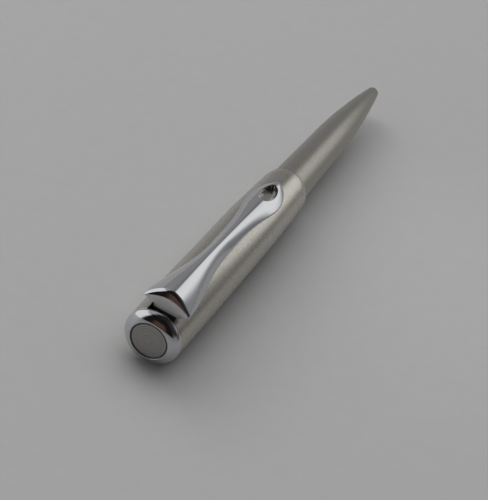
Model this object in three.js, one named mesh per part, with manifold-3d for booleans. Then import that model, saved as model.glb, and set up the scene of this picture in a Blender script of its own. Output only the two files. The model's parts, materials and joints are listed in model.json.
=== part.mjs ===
// Push-action ballpoint pen with a sprung clip. Every size is in millimetres.
// In the code below y runs along the pen: 0 at the barrel's rear rim, growing towards the point.
// The pen's own axis is x = 0, z = 0, with the clip on top. The last group lays the pen on z = 0.
import * as THREE from "three";
import { mergeVertices } from "three/addons/utils/BufferGeometryUtils.js";
import Module from "manifold-3d";

const wasm = await Module();
wasm.setup();

// Clearances: a running fit, a fit of pieces that stay put, and a gap between end faces
const runFit = 0.06;
const fixedFit = 0.05;
const endGap = 0.1;

// How far the rear half slides over the front half
const stroke = 4.5;

// Driving dimensions of the rear barrel
const barrelLength = 69.6;
const rimRadius = 6.4;
const rimWall = 0.9;
const bellySwell = 0.2;
const bellyStart = 18;
const bellyEnd = 48;
const shoulderNarrowing = 0.55;
const shoulderLength = 3.6;
const shoulderDrop = 0.5;
const mouthLength = 16.6;
const mouthWall = 0.2;

// Depth of the flat under the barrel and the dome that the pen lies on
const restDepth = 0.5;

const bellyRadius = rimRadius + bellySwell;
const shoulderRadius = bellyRadius - shoulderNarrowing;
const shoulderStart = barrelLength - shoulderLength;
const barrelBore = rimRadius - rimWall;
const mouthBore = shoulderRadius - shoulderDrop - mouthWall;
const mouthBoreStart = barrelLength - mouthLength;

// Driving dimensions of the bright ring at the barrel's mouth
const seamRingProud = 0.7;
const seamRingStraight = 0.35;
const seamRingBevel = 0.15;
const seamRingWall = 0.18;
const seamRingInset = 0.05;
const seamRingTail = 2.4;
const seamRunGap = 0.1;

const seamY = barrelLength + seamRingProud;
const seamRingRadius = shoulderRadius - shoulderDrop - seamRingInset;
const seamRingBore = mouthBore - fixedFit - seamRingWall;

// Driving dimensions of the front section
const frontLength = 63.2;
const noseLength = 35.5;
const gripTaper = 0.52;
const noseWall = 0.28;
const noseRounding = 0.4;
const tipBevel = 0.15;
const spigotWall = 0.65;
const mouthBushWall = 0.74;

const tipY = seamY + frontLength;
const noseStart = tipY - noseLength;
const seamRadius = seamRingBore - seamRunGap;
const spigotRadius = mouthBore - fixedFit - mouthBushWall - runFit;
const spigotStart = mouthBoreStart + 1;

// Driving dimensions of the refill and its spring
const refillRadius = 1.5;
const refillWall = 0.25;
const refillNoseRadius = 1;
const refillNoseGap = 0.1;
const refillSpringWire = 0.2;
const refillSpringTurns = 9;
const refillSpringGap = 0.2;

const tipBore = refillNoseRadius + refillNoseGap;
const noseEndRadius = tipBore + noseWall;

const sides = 24;
const smallSides = 16;
const ballSides = 8;

// How far a cutter reaches past what it cuts
const past = 1;

// Solids

// A closed mesh as a manifold-3d solid: only the positions are kept, and shared ones are merged.
function solid(geometry) {
  const bare = geometry.index ? geometry.toNonIndexed() : geometry.clone();
  bare.deleteAttribute("normal");
  bare.deleteAttribute("uv");
  const merged = mergeVertices(bare, 1e-4);
  return new wasm.Manifold(
    new wasm.Mesh({
      numProp: 3,
      vertProperties: merged.attributes.position.array,
      triVerts: new Uint32Array(merged.index.array),
    }),
  );
}

// A manifold-3d solid as a three.js geometry.
function geometryOf(manifold) {
  const mesh = manifold.getMesh();
  const geometry = new THREE.BufferGeometry();
  geometry.setAttribute("position", new THREE.BufferAttribute(new Float32Array(mesh.vertProperties), 3));
  geometry.setIndex(new THREE.BufferAttribute(new Uint32Array(mesh.triVerts), 1));
  geometry.computeVertexNormals();
  return geometry;
}

const cut = (geometry, ...tools) =>
  geometryOf(tools.reduce((rest, tool) => rest.subtract(solid(tool)), solid(geometry)));

const join = (geometry, ...others) =>
  geometryOf(others.reduce((whole, other) => whole.add(solid(other)), solid(geometry)));

// A turned piece: [radius, y] pairs, outer side towards the point, then back along the bore or the axis.
function turned(profile, count = sides) {
  const points = profile.map(([radius, y]) => new THREE.Vector2(radius, y));
  const onAxis = profile[0][0] === 0 && profile[profile.length - 1][0] === 0;
  if (!onAxis) points.push(points[0].clone());
  return new THREE.LatheGeometry(points, count);
}

// A plain ring, washer or bush.
const ring = (inner, outer, start, end, count = sides) =>
  turned([[inner, start], [outer, start], [outer, end], [inner, end]], count);

// A plain round bar.
const bar = (radius, start, end, count = sides) =>
  turned([[0, start], [radius, start], [radius, end], [0, end]], count);

// A round bar across the pen, along x, at one place along it and one height.
function crossBar(radius, halfLength, y, z) {
  const geometry = bar(radius, -halfLength, halfLength, smallSides);
  return geometry.rotateZ(-Math.PI / 2).translate(0, y, z);
}

// A block given by its two corners.
function block([x0, x1], [y0, y1], [z0, z1]) {
  const geometry = new THREE.BoxGeometry(x1 - x0, y1 - y0, z1 - z0);
  return geometry.translate((x0 + x1) / 2, (y0 + y1) / 2, (z0 + z1) / 2);
}

// Copies of a geometry turned about the pen's axis by equal steps.
function around(geometry, count, firstAngle = 0) {
  return Array.from({ length: count }, (_, i) =>
    geometry.clone().rotateY(firstAngle + (i * 2 * Math.PI) / count),
  );
}

// A coil round the pen's axis or, turned, round a pin: one unbroken wire with straight legs if asked.
class Coil extends THREE.Curve {
  constructor({ radius, start, end, turns, leg = 0, firstAngle = 0 }) {
    super();
    Object.assign(this, { radius, start, end, turns, leg, firstAngle });
    this.wound = turns * 2 * Math.PI * radius;
    this.length = this.wound + 2 * leg;
  }

  // A leg leaves the coil along its tangent, and the coil itself climbs at a steady rate.
  getPoint(t, target = new THREE.Vector3()) {
    const along = t * this.length - this.leg;
    const onCoil = Math.min(Math.max(along, 0), this.wound);
    const angle = this.firstAngle + onCoil / this.radius;
    const past = along - onCoil;
    const x = this.radius * Math.cos(angle) - past * Math.sin(angle);
    const z = -this.radius * Math.sin(angle) - past * Math.cos(angle);
    const y = this.start + ((this.end - this.start) * onCoil) / this.wound;
    return target.set(x, y, z);
  }
}

const wireSides = 5;
const wireStepsPerTurn = 8;

// Wire of a five-sided section along a coil.
function wire(wireRadius, coil) {
  const section = new THREE.Shape(
    Array.from({ length: wireSides }, (_, i) => {
      const angle = (i * 2 * Math.PI) / wireSides;
      return new THREE.Vector2(wireRadius * Math.cos(angle), wireRadius * Math.sin(angle));
    }),
  );
  const steps = Math.round((coil.length / coil.wound) * coil.turns * wireStepsPerTurn);
  return new THREE.ExtrudeGeometry(section, { steps, extrudePath: coil, bevelEnabled: false });
}

// Outlines that several pieces share

// Outer radius of the rear barrel: it swells from the rim to the belly, then narrows to the shoulder.
const narrowingPower = 1.25;

function barrelRadius(y) {
  if (y < bellyStart) {
    const back = (bellyStart - y) / bellyStart;
    return bellyRadius - bellySwell * back * back;
  }
  if (y < bellyEnd) return bellyRadius;
  const on = Math.min((y - bellyEnd) / (shoulderStart - bellyEnd), 1);
  return bellyRadius - shoulderNarrowing * on ** narrowingPower;
}

// Outer radius of the front section: a straight taper, then the bullet-shaped nose, an arc.
const taper = gripTaper / (noseStart - seamY);
const noseRoundStart = tipY - noseRounding;

function frontRadius(y) {
  const straight = seamRadius - taper * Math.max(y - seamY, 0);
  if (y <= noseStart) return straight;
  const whole = seamRadius - taper * (noseRoundStart - seamY) - noseEndRadius;
  const on = (y - noseStart) / (noseRoundStart - noseStart);
  return straight - whole * on * on;
}

// Evenly spaced values from a first to a last one.
const spread = (first, last, count) =>
  Array.from({ length: count }, (_, i) => first + ((last - first) * i) / (count - 1));

// Points of a quarter round that turns from the outer side inwards, in a turned profile.
function quarterRound(radius, y, drop, length, steps) {
  return spread(0, Math.PI / 2, steps + 1).map((angle) => [
    radius - drop * (1 - Math.cos(angle)),
    y + length * Math.sin(angle),
  ]);
}

// Everything below the flat that the pen lies on, up to one place along the pen.
function belowRest(end) {
  const reach = bellyRadius + past;
  return block([-reach, reach], [-domeDepth - past, end], [-reach, restDepth - bellyRadius]);
}

// Rear end: dome, disc and their screw
const domeDepth = 2.3;
const domeProud = 0.05;
const domeLand = 0.3;
const recessRadius = 4.45;
const recessDepth = 0.9;
const domeFlangeDepth = 0.35;
const domeSpigotLength = 0.8;
const discThickness = 0.72;
const discBevel = 0.11;
const discFlatRadius = 3.2;
const discRingWidth = 0.3;
const screwRadius = 0.95;
const screwHeadRadius = 2;
const screwHeadHeight = 0.7;
const screwLength = 6;
const screwSlotDepth = 0.28;
const screwSlotHalfWidth = 0.25;

const domeRadius = rimRadius + domeProud;
const recessFloor = recessDepth - domeDepth;
const headSeat = recessFloor + screwHeadHeight + endGap;

// Chrome dome: a rounded cap with a round recess behind and a spigot that goes into the barrel.
function endDome() {
  const landRadius = recessRadius + domeLand;
  const rounded = spread(0, Math.PI / 2, 7).map((angle) => [
    landRadius + (domeRadius - landRadius) * Math.sin(angle),
    -domeFlangeDepth - (domeDepth - domeFlangeDepth) * Math.cos(angle),
  ]);
  const spigot = barrelBore - fixedFit;
  const hole = screwRadius + fixedFit;
  const cap = turned([
    [recessRadius, -domeDepth],
    ...rounded,
    [domeRadius, -endGap / 2],
    [spigot, -endGap / 2],
    [spigot, domeSpigotLength],
    [hole, domeSpigotLength],
    [hole, headSeat],
    [screwHeadRadius + fixedFit, headSeat],
    [screwHeadRadius + fixedFit, recessFloor],
    [recessRadius, recessFloor],
  ]);
  return cut(cap, belowRest(domeSpigotLength));
}

// Screw under the disc, with a slotted head. It pulls the dome onto the bracket.
function endScrew() {
  const headTop = headSeat - endGap - screwHeadHeight;
  const body = turned([
    [0, headTop],
    [screwHeadRadius, headTop],
    [screwHeadRadius, headSeat - endGap / 2],
    [screwRadius, headSeat - endGap / 2],
    [screwRadius, headSeat + screwLength],
    [0, headSeat + screwLength],
  ]);
  const reach = screwHeadRadius + past;
  const slot = block(
    [-reach, reach],
    [headTop - past, headTop + screwSlotDepth],
    [-screwSlotHalfWidth, screwSlotHalfWidth],
  );
  return cut(body, slot);
}

const discRadius = recessRadius - discRingWidth - 3 * fixedFit;
const discBack = recessFloor - endGap;

// Bare end disc with a bevelled edge.
function endDisc() {
  const face = discBack - discThickness;
  return turned([
    [0, face],
    [discFlatRadius, face],
    [discRadius, face + discBevel],
    [discRadius, discBack],
    [0, discBack],
  ]);
}

const discRing = () =>
  ring(discRadius + fixedFit, recessRadius - fixedFit, discBack - discThickness + discBevel, discBack);

// Clip: a flared lip at the rear, a narrow waist and a drop-shaped end with an oval hole
const clipRear = 2;
const lipHalfWidth = 5.4;
const lipCrest = 4.3;
const lipLift = 2.1;
const lipRounding = 0.3;
const clipWaist = 29;
const waistHalfWidth = 2.33;
const dropHalfWidth = 3.95;
const dropPointLength = 8.5;
const clipEnd = 60.8;
const endCrest = 1.45;
const edgeLift = 0.58;
const underGap = 0.3;
const edgeInset = 0.2;
const edgeThickness = 0.5;
const crestThickness = 1.4;
const holeFromEnd = 6.9;
const holeHalfWidth = 2;
const holeHalfLength = 3.95;

const clipWidest = clipEnd - dropPointLength;
const holeY = clipEnd - holeFromEnd;

// Tang and pivot: the tang goes through the barrel's slot and turns on a pin in the bracket
const slotHalfWidth = 3.1;
const slotClearance = 1.5;
const tangSideGap = 0.2;
const tangThickness = 2.2;
const pivotFromRear = 3.2;
const pivotDepth = 2.55;
const pinRadius = 0.75;
const tangBelowPivot = 1.3;
const tangBeforePivot = 2.3;
const tangFloorGap = 0.4;
const springSlotHalfWidth = 1.25;
const springSlotBehind = 2;
const springSlotAbove = 1.55;

const pivotY = clipRear + pivotFromRear;
const pivotZ = barrelBore - pivotDepth;
const tangHalfWidth = slotHalfWidth - tangSideGap;
const tangFront = pivotY + tangBeforePivot;
const tangFoot = pivotZ - tangBelowPivot;
const pocketFloor = tangFoot - tangFloorGap;
const slotLength = tangFront + slotClearance;

// Rear barrel with its slot, and the ring at its mouth
function rearBarrel() {
  const swelling = spread(0, bellyStart, 5).map((y) => [barrelRadius(y), y]);
  const narrowing = spread(bellyEnd, shoulderStart, 5).map((y) => [barrelRadius(y), y]);
  const shoulder = quarterRound(
    shoulderRadius,
    shoulderStart,
    shoulderDrop,
    barrelLength - shoulderStart,
    4,
  );
  const shell = turned([
    ...swelling,
    ...narrowing,
    ...shoulder.slice(1),
    [mouthBore, barrelLength],
    [mouthBore, mouthBoreStart],
    [barrelBore, mouthBoreStart],
    [barrelBore, 0],
  ]);
  const slot = block([-slotHalfWidth, slotHalfWidth], [-past, slotLength], [pocketFloor, bellyRadius + past]);
  return cut(shell, slot, belowRest(barrelLength));
}

// Bright ring at the barrel's mouth, with a tail inside the barrel.
function seamRing() {
  const face = barrelLength + fixedFit;
  return turned([
    [seamRingBore, barrelLength - seamRingTail],
    [mouthBore - fixedFit, barrelLength - seamRingTail],
    [mouthBore - fixedFit, face],
    [seamRingRadius, face],
    [seamRingRadius, face + seamRingStraight],
    [seamRingRadius - seamRingBevel, seamY],
    [seamRingBore + seamRingWall / 2, seamY],
    [seamRingBore, seamY - seamRingWall / 2],
  ]);
}

// Shape of the clip
const ease = (t) => t * t * (3 - 2 * t);
const lipFlarePower = 1.2;
const dropFlarePower = 1.8;
const dropPointPower = 0.62;
const crestFallPower = 2.2;
const endRoundingPower = 6;
const ridgeRound = 0.6;
const lipRidgeRound = 0.7;

// Half the clip's width: flared at the lip, narrow at the waist, wide at the drop, pointed at the end.
function clipHalfWidth(y) {
  if (y < clipWaist) {
    const back = (clipWaist - y) / (clipWaist - clipRear);
    return waistHalfWidth + (lipHalfWidth - waistHalfWidth) * ease(back ** lipFlarePower);
  }
  if (y < clipWidest) {
    const on = (y - clipWaist) / (clipWidest - clipWaist);
    return waistHalfWidth + (dropHalfWidth - waistHalfWidth) * ease(on ** dropFlarePower);
  }
  const toPoint = (y - clipWidest) / dropPointLength;
  return dropHalfWidth * (1 - toPoint * toPoint) ** dropPointPower;
}

// Height of the clip's side edges: a small lift above the barrel that grows towards the lip.
function clipEdgeHeight(y) {
  const back = Math.max((clipWaist - y) / (clipWaist - clipRear), 0);
  const over = barrelRadius(y) + edgeLift + lipLift * back * back;
  return Math.sqrt(over * over - clipHalfWidth(y) ** 2);
}

// Height of the clip's crest: high at the lip, falling towards the end, where it rounds off.
function clipCrestHeight(y) {
  const back = Math.max((clipEnd - y) / (clipEnd - clipRear), 0);
  const crest = barrelRadius(y) + endCrest + (lipCrest - endCrest) * back ** crestFallPower;
  const nearEnd = Math.max((y - clipWidest) / dropPointLength, 0);
  const edge = clipEdgeHeight(y);
  return edge + (crest - edge) * Math.sqrt(1 - nearEnd ** endRoundingPower);
}

// Height of the clip's top across it: a ridge whose top is broad at the lip and tighter further on.
// across runs from -1 at one edge to 1 at the other.
function clipTop(y, across) {
  const back = Math.max((clipWaist - y) / (clipWaist - clipRear), 0);
  const round = ridgeRound + lipRidgeRound * back * back;
  const flank = Math.sqrt(1 + round * round);
  const rise = (flank - Math.sqrt(across * across + round * round)) / (flank - round);
  const edge = clipEdgeHeight(y);
  return edge + (clipCrestHeight(y) - edge) * rise;
}

// Closed outline of the clip's beam at one place: over the top, and back underneath.
// The rearmost outline is drawn in all round, which rounds the lip's edge.
function beamOutline(y) {
  const drawnIn = y < clipRear + lipRounding ? lipRounding : 0;
  const half = clipHalfWidth(y) - drawnIn;
  const top = spread(-1, 1, 11).map((across) => [half * across, clipTop(y, across) - drawnIn]);
  const inner = Math.max(half - edgeInset, half / 2);
  const under = spread(1, -1, 11).map((across) => {
    const x = inner * across;
    const thickness = edgeThickness + (crestThickness - edgeThickness) * (1 - across * across);
    const clear = Math.sqrt((barrelRadius(y) + underGap) ** 2 - x * x);
    return [x, Math.max(clipTop(y, across) - thickness, clear)];
  });
  return [...top, ...under];
}

// A solid skinned over outlines [x, z] at rising y. The first half of each outline's points runs over
// the top and the second half back underneath, so the flat ends are strips between the two halves.
function skinned(places, outlineAt) {
  const outlines = places.map(outlineAt);
  const count = outlines[0].length;
  const positions = outlines.flatMap((outline, i) => outline.flatMap(([x, z]) => [x, places[i], z]));
  const index = [];
  for (let i = 0; i + 1 < places.length; i++) {
    for (let j = 0; j < count; j++) {
      const a = i * count + j;
      const b = i * count + ((j + 1) % count);
      index.push(a, b, a + count, b, b + count, a + count);
    }
  }
  const last = (places.length - 1) * count;
  for (let j = 0; j + 1 < count / 2; j++) {
    const below = count - 1 - j;
    index.push(below, below - 1, j + 1, below, j + 1, j);
    index.push(last + below, last + j + 1, last + below - 1, last + below, last + j, last + j + 1);
  }
  const geometry = new THREE.BufferGeometry();
  geometry.setAttribute("position", new THREE.Float32BufferAttribute(positions, 3));
  geometry.setIndex(index);
  return geometry;
}

const wingStep = 0.4;
const wingReach = 1.2;
const wingLow = 1.3;
const wingHigh = 0.6;

// The flat rear wall of the clip: the lip's arch on top, wings that overhang, and the tang below.
function clipPlate() {
  const arch = spread(1, -1, 15).map((across) => [
    (lipHalfWidth - lipRounding) * across,
    clipTop(clipRear, across) - lipRounding,
  ]);
  const edge = clipEdgeHeight(clipRear);
  const wing = [
    [tangHalfWidth, tangFoot],
    [tangHalfWidth, edge - wingLow],
    [tangHalfWidth + wingStep, edge - wingLow + wingStep / 2],
    [tangHalfWidth + wingReach, edge - wingHigh],
  ];
  const outline = [...wing, ...arch, ...wing.map(([x, z]) => [-x, z]).reverse()];
  const plate = new THREE.ExtrudeGeometry(
    new THREE.Shape(outline.map(([x, z]) => new THREE.Vector2(x, z))),
    {
      depth: tangThickness - 2 * lipRounding,
      bevelEnabled: true,
      bevelThickness: lipRounding,
      bevelSize: lipRounding,
      bevelOffset: -lipRounding,
      bevelSegments: 1,
    },
  );
  return plate.rotateX(Math.PI / 2).translate(0, clipRear + tangThickness - lipRounding, 0);
}

// Oval cutter for the hole in the clip's end.
function ovalCutter() {
  const geometry = bar(1, 0, bellyRadius + lipCrest + past, sides);
  return geometry.rotateX(Math.PI / 2).scale(holeHalfWidth, holeHalfLength, 1).translate(0, holeY, 0);
}

const flareLength = 11;
const bluntEnd = 0.2;

function clip() {
  const flareEnd = clipRear + flareLength;
  const places = [
    clipRear,
    ...spread(clipRear + lipRounding, flareEnd, 6),
    ...spread(flareEnd, clipWidest, 12).slice(1),
    ...spread(clipWidest, clipEnd - bluntEnd, 7).slice(1),
  ];
  const tang = block(
    [-tangHalfWidth, tangHalfWidth],
    [clipRear + tangThickness / 2, tangFront],
    [tangFoot, clipEdgeHeight(tangFront) + edgeThickness],
  );
  const springSlot = block(
    [-springSlotHalfWidth, springSlotHalfWidth],
    [pivotY - springSlotBehind, tangFront + past],
    [tangFoot - past, pivotZ + springSlotAbove],
  );
  return cut(
    join(skinned(places, beamOutline), clipPlate(), tang),
    springSlot,
    crossBar(pinRadius + runFit, tangHalfWidth + past, pivotY, pivotZ),
    ovalCutter(),
  );
}

// The pin ends flush with the bracket's round side, inside the barrel.
function clipPin() {
  const flat = (barrelBore - fixedFit) * Math.cos(Math.PI / sides);
  const halfLength = Math.sqrt(flat ** 2 - (pivotZ + pinRadius) ** 2);
  return crossBar(pinRadius, halfLength, pivotY, pivotZ);
}

// Torsion spring on the clip's pin. Both legs point back: one rests on the bracket, one lifts the tang.
const clipSpringWire = 0.18;
const clipSpringTurns = 2.5;
const clipSpringLeg = 1.6;
const clipSpringGap = 0.32;

function clipSpring() {
  const halfWidth = springSlotHalfWidth - clipSpringWire - endGap;
  const coil = new Coil({
    radius: pinRadius + clipSpringGap + clipSpringWire,
    start: halfWidth,
    end: -halfWidth,
    turns: clipSpringTurns,
    leg: clipSpringLeg,
    firstAngle: Math.PI / 2,
  });
  const geometry = wire(clipSpringWire, coil);
  return geometry.rotateZ(-Math.PI / 2).rotateX(Math.PI / 2).translate(0, pivotY, pivotZ);
}

// Bracket that plugs the barrel's rear end, carries the clip's pin and pushes the plunger
const bracketRear = domeSpigotLength + endGap;
const bracketBlock = 4;
const bracketFront = slotLength + bracketBlock;

function clipBracket() {
  const radius = barrelBore - fixedFit;
  return cut(
    bar(radius, bracketRear, bracketFront),
    block([-slotHalfWidth, slotHalfWidth], [bracketRear - past, slotLength], [pocketFloor, radius + past]),
    crossBar(pinRadius + fixedFit, radius + past, pivotY, pivotZ),
    bar(screwRadius + fixedFit, bracketRear - past, headSeat + screwLength + endGap),
  );
}

// Click mechanism: plunger, rotor and housing at the rear of the inner tube
const tubeWall = 0.45;
const tubeLap = 1.3;
const pushGap = 0.4;
const housingLength = 16.1;
const housingWall = 0.35;
const housingFlange = 0.6;
const ribDepth = 0.4;
const ribWidth = 1;
const ribsLength = 6.6;
const keyWidth = 0.9;
const keyGap = 0.13;
const plungerGap = 0.1;
const plungerBodyLength = 3.9;
const plungerKeyLength = 2;
const plungerBevel = 0.3;
const shoulderGap = 0.3;
const stemStep = 0.45;
const toothCount = 8;
const toothHeight = 0.2;
const toothHalfPitch = 0.55;
const toothDepth = 0.9;
const toothInset = 0.4;
const toothRoot = 0.1;
const rotorLength = 5.8;
const rotorStep = 0.05;
const rotorKeyLength = 3;
const keyRoot = 0.5;
const pilotRadius = 0.95;
const pilotLength = 1.7;
const socketStart = 2.2;

const tubeRadius = spigotRadius - spigotWall - fixedFit;
const tubeBore = tubeRadius - tubeWall;
const tubeEnd = seamY - tubeLap;
const plungerRear = bracketFront + endGap;
const housingRear = bracketFront + stroke + pushGap;
const housingFloor = housingRear + housingFlange;
const housingBore = tubeBore - fixedFit - housingWall;
const ribsEnd = housingRear + ribsLength;
const plungerRadius = housingBore - ribDepth - plungerGap;
const stemRadius = plungerRadius - stemStep;
const keyRadius = housingBore - keyGap;
const plungerShoulder = housingFloor + shoulderGap;
const plungerFront = plungerShoulder + plungerBodyLength;
const rotorRadius = plungerRadius - rotorStep;
const rotorRear = plungerFront + 2 * toothHeight + endGap;
const refillRear = rotorRear + socketStart;
const tubeRear = housingFloor + endGap;

// Brass tube that joins the front section to the mechanism. The barrel slides along it.
function innerTube() {
  const grooveStart = springRingStart - endGap / 2;
  const grooveEnd = springRingStart + snapRingThickness + endGap / 2;
  return turned([
    [tubeBore, tubeRear],
    [tubeRadius, tubeRear],
    [tubeRadius, grooveStart],
    [tubeRadius - grooveDepth, grooveStart],
    [tubeRadius - grooveDepth, grooveEnd],
    [tubeRadius, grooveEnd],
    [tubeRadius, tubeEnd],
    [tubeBore, tubeEnd],
  ]);
}

// Housing of the mechanism: four inner ribs guide the plunger, and the rotor turns in front of them.
function camHousing() {
  const lip = stemRadius + runFit;
  const outer = tubeBore - fixedFit;
  const front = housingRear + housingLength;
  const shell = turned([
    [lip, housingRear],
    [tubeRadius - fixedFit, housingRear],
    [tubeRadius - fixedFit, housingFloor],
    [outer, housingFloor],
    [outer, front],
    [housingBore, front],
    [housingBore, housingFloor],
    [lip, housingFloor],
  ]);
  const rib = block(
    [-ribWidth / 2, ribWidth / 2],
    [housingFloor - housingFlange / 2, ribsEnd],
    [housingBore - ribDepth, housingBore + housingWall / 2],
  );
  return join(shell, ...around(rib, 4, Math.PI / 4));
}

// Crown of small pointed teeth on an end face. Towards is 1 if they point to the pen's point.
function crown(y, towards) {
  const tooth = new THREE.Shape([
    new THREE.Vector2(-toothHalfPitch, -toothRoot * towards),
    new THREE.Vector2(toothHalfPitch, -toothRoot * towards),
    new THREE.Vector2(0, toothHeight * towards),
  ]);
  const geometry = new THREE.ExtrudeGeometry(tooth, { depth: toothDepth, bevelEnabled: false });
  return around(geometry.translate(0, y, pilotRadius + toothInset), toothCount);
}

const key = (outer, start, end) =>
  block([-keyWidth / 2, keyWidth / 2], [start, end], [rotorRadius - keyRoot, outer]);

// Plunger: a stem through the housing's lip, a body with four keys, and a crown of teeth.
function camPlunger() {
  const body = turned([
    [0, plungerRear],
    [stemRadius - plungerBevel, plungerRear],
    [stemRadius, plungerRear + plungerBevel],
    [stemRadius, plungerShoulder],
    [plungerRadius, plungerShoulder],
    [plungerRadius, plungerFront],
    [pilotRadius + runFit, plungerFront],
    [pilotRadius + runFit, plungerFront - pilotLength],
    [0, plungerFront - pilotLength],
  ]);
  const keyStart = plungerShoulder + endGap;
  const keys = around(key(keyRadius, keyStart, keyStart + plungerKeyLength), 4);
  return join(body, ...keys, ...crown(plungerFront, 1));
}

// Rotor: a pilot in the plunger, teeth, four keys, and a socket for the refill's rear end.
function camRotor() {
  const socket = refillRadius + fixedFit;
  const rotorFront = rotorRear + rotorLength;
  const keyStart = ribsEnd + shoulderGap;
  const body = turned([
    [0, rotorRear - pilotLength],
    [pilotRadius, rotorRear - pilotLength],
    [pilotRadius, rotorRear],
    [rotorRadius, rotorRear],
    [rotorRadius, rotorFront],
    [socket, rotorFront],
    [socket, refillRear - endGap],
    [0, refillRear - endGap],
  ]);
  const keys = around(key(keyRadius, keyStart, keyStart + rotorKeyLength), 4, Math.PI / 4);
  const teeth = crown(rotorRear, -1).map((tooth) => tooth.rotateY(Math.PI / toothCount));
  return join(body, ...keys, ...teeth);
}

// Slide between the two halves: bushes in the barrel, spring and snap rings on the front half
const rearBushFromBracket = 9;
const rearBushLength = 4;
const snapRingThickness = 0.8;
const snapRingWidth = 0.45;
const snapRingHalfOpening = 1.1;
const grooveDepth = 0.2;
const grooveFromEnd = 0.6;
const springRingFromSpigot = 11;
const mouthBushLength = 5;
const bumperThickness = 0.5;
const returnSpringWire = 0.35;
const returnSpringTurns = 7;

const rearBushStart = bracketFront + rearBushFromBracket;
const snapRingRadius = spigotRadius + snapRingWidth;
const springRingStart = spigotStart - springRingFromSpigot;
const stopRingStart = spigotStart + grooveFromEnd;
const mouthBushStart = stopRingStart + snapRingThickness + endGap;
const frontStep = mouthBushStart + mouthBushLength + stroke + bumperThickness + 3 * endGap;

const rearBush = () =>
  ring(tubeRadius + runFit, barrelBore - fixedFit, rearBushStart, rearBushStart + rearBushLength);

const mouthBush = () =>
  ring(spigotRadius + runFit, mouthBore - fixedFit, mouthBushStart, mouthBushStart + mouthBushLength);

const bumperRing = () =>
  ring(spigotRadius + fixedFit, snapRingRadius, frontStep - endGap - bumperThickness, frontStep - endGap);

// Snap ring: a flat ring in a groove, open at the bottom.
function snapRing(shaftRadius, start) {
  const inner = shaftRadius - grooveDepth + fixedFit;
  const gap = block(
    [-snapRingHalfOpening, snapRingHalfOpening],
    [start - past, start + snapRingThickness + past],
    [-snapRingRadius - past, 0],
  );
  return cut(ring(inner, snapRingRadius, start, start + snapRingThickness), gap);
}

// Spring that pushes the barrel back along the tube.
function returnSpring() {
  const seat = rearBushStart + rearBushLength + endGap + returnSpringWire;
  const coil = new Coil({
    radius: tubeRadius + runFit + 2 * returnSpringWire,
    start: seat,
    end: springRingStart - endGap - returnSpringWire,
    turns: returnSpringTurns,
  });
  return wire(returnSpringWire, coil);
}

// Front section: a spigot inside the barrel, the tapered grip and the nose, bored for refill and spring
const springBoreFromTip = 21.5;
const springSeatFromTip = 13.2;
const refillShoulderFromTip = 12;
const refillNoseStep = 0.12;
const boreConeLead = 2;

const frontBore = tubeRadius + fixedFit;
const springBore = refillRadius + 3 * refillSpringWire + refillSpringGap;
const springSeat = tipY - springSeatFromTip;
const refillShoulder = tipY - refillShoulderFromTip;

function frontSection() {
  const grooveStart = stopRingStart - endGap / 2;
  const grooveEnd = stopRingStart + snapRingThickness + endGap / 2;
  const noseBore = refillRadius + refillNoseStep;
  const noseBoreEnd = refillShoulder + stroke + 1;
  const nose = spread(noseStart, noseRoundStart, 8).map((y) => [frontRadius(y), y]);
  return turned([
    [frontBore, spigotStart],
    [spigotRadius, spigotStart],
    [spigotRadius, grooveStart],
    [spigotRadius - grooveDepth, grooveStart],
    [spigotRadius - grooveDepth, grooveEnd],
    [spigotRadius, grooveEnd],
    [spigotRadius, frontStep],
    [seamRadius, frontStep],
    [seamRadius, seamY],
    ...nose,
    [tipBore + tipBevel, tipY],
    [tipBore, tipY],
    [tipBore, noseBoreEnd],
    [noseBore, noseBoreEnd],
    [noseBore, springSeat],
    [springBore, springSeat],
    [springBore, tipY - springBoreFromTip],
    [frontBore, noseStart - boreConeLead],
  ]);
}

// Refill: a slim metal one, with a collar for its spring and a ball in its nose
const collarFromTip = 30.3;
const collarThickness = 0.8;
const collarWidth = 0.65;
const coneFromTip = 4.3;
const ballFromTip = 1.55;
const ballRadius = 0.35;
const ballFit = 0.03;
const ballBelowRim = 0.05;
const socketRim = 0.06;
const plugLength = 3;
const noseTailLength = 5;

const collarStart = tipY - collarFromTip;
const ballY = tipY - ballFromTip;

const refillTube = () => ring(refillRadius - refillWall, refillRadius, refillRear, refillShoulder, smallSides);

const refillPlug = () => bar(refillRadius - refillWall - fixedFit, refillRear, refillRear + plugLength, smallSides);

const refillCollar = () =>
  ring(
    refillRadius + fixedFit,
    refillRadius + collarWidth,
    collarStart,
    collarStart + collarThickness,
    smallSides,
  );

function refillNose() {
  const tail = refillRadius - refillWall - fixedFit;
  const socket = ballRadius + ballFit;
  const socketFloor = ballY - ballRadius - fixedFit;
  return turned(
    [
      [0, refillShoulder - noseTailLength],
      [tail, refillShoulder - noseTailLength],
      [tail, refillShoulder + endGap],
      [refillNoseRadius, refillShoulder + endGap],
      [refillNoseRadius, tipY - coneFromTip],
      [socket + socketRim, ballY - ballBelowRim],
      [socket, ballY - ballBelowRim],
      [socket, socketFloor],
      [0, socketFloor],
    ],
    smallSides,
  );
}

function refillBall() {
  return turned(
    spread(-Math.PI / 2, Math.PI / 2, 7).map((angle, i, all) => [
      i === 0 || i === all.length - 1 ? 0 : ballRadius * Math.cos(angle),
      ballY + ballRadius * Math.sin(angle),
    ]),
    ballSides,
  );
}

// Spring between the refill's collar and the seat in the nose.
function refillSpring() {
  const coil = new Coil({
    radius: refillRadius + 2 * refillSpringWire,
    start: collarStart + collarThickness + endGap + refillSpringWire,
    end: springSeat - endGap - refillSpringWire,
    turns: refillSpringTurns,
  });
  return wire(refillSpringWire, coil);
}

// Finishes

const finish = (color, roughness, metalness) => () =>
  new THREE.MeshStandardMaterial({ color, roughness, metalness });

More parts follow.
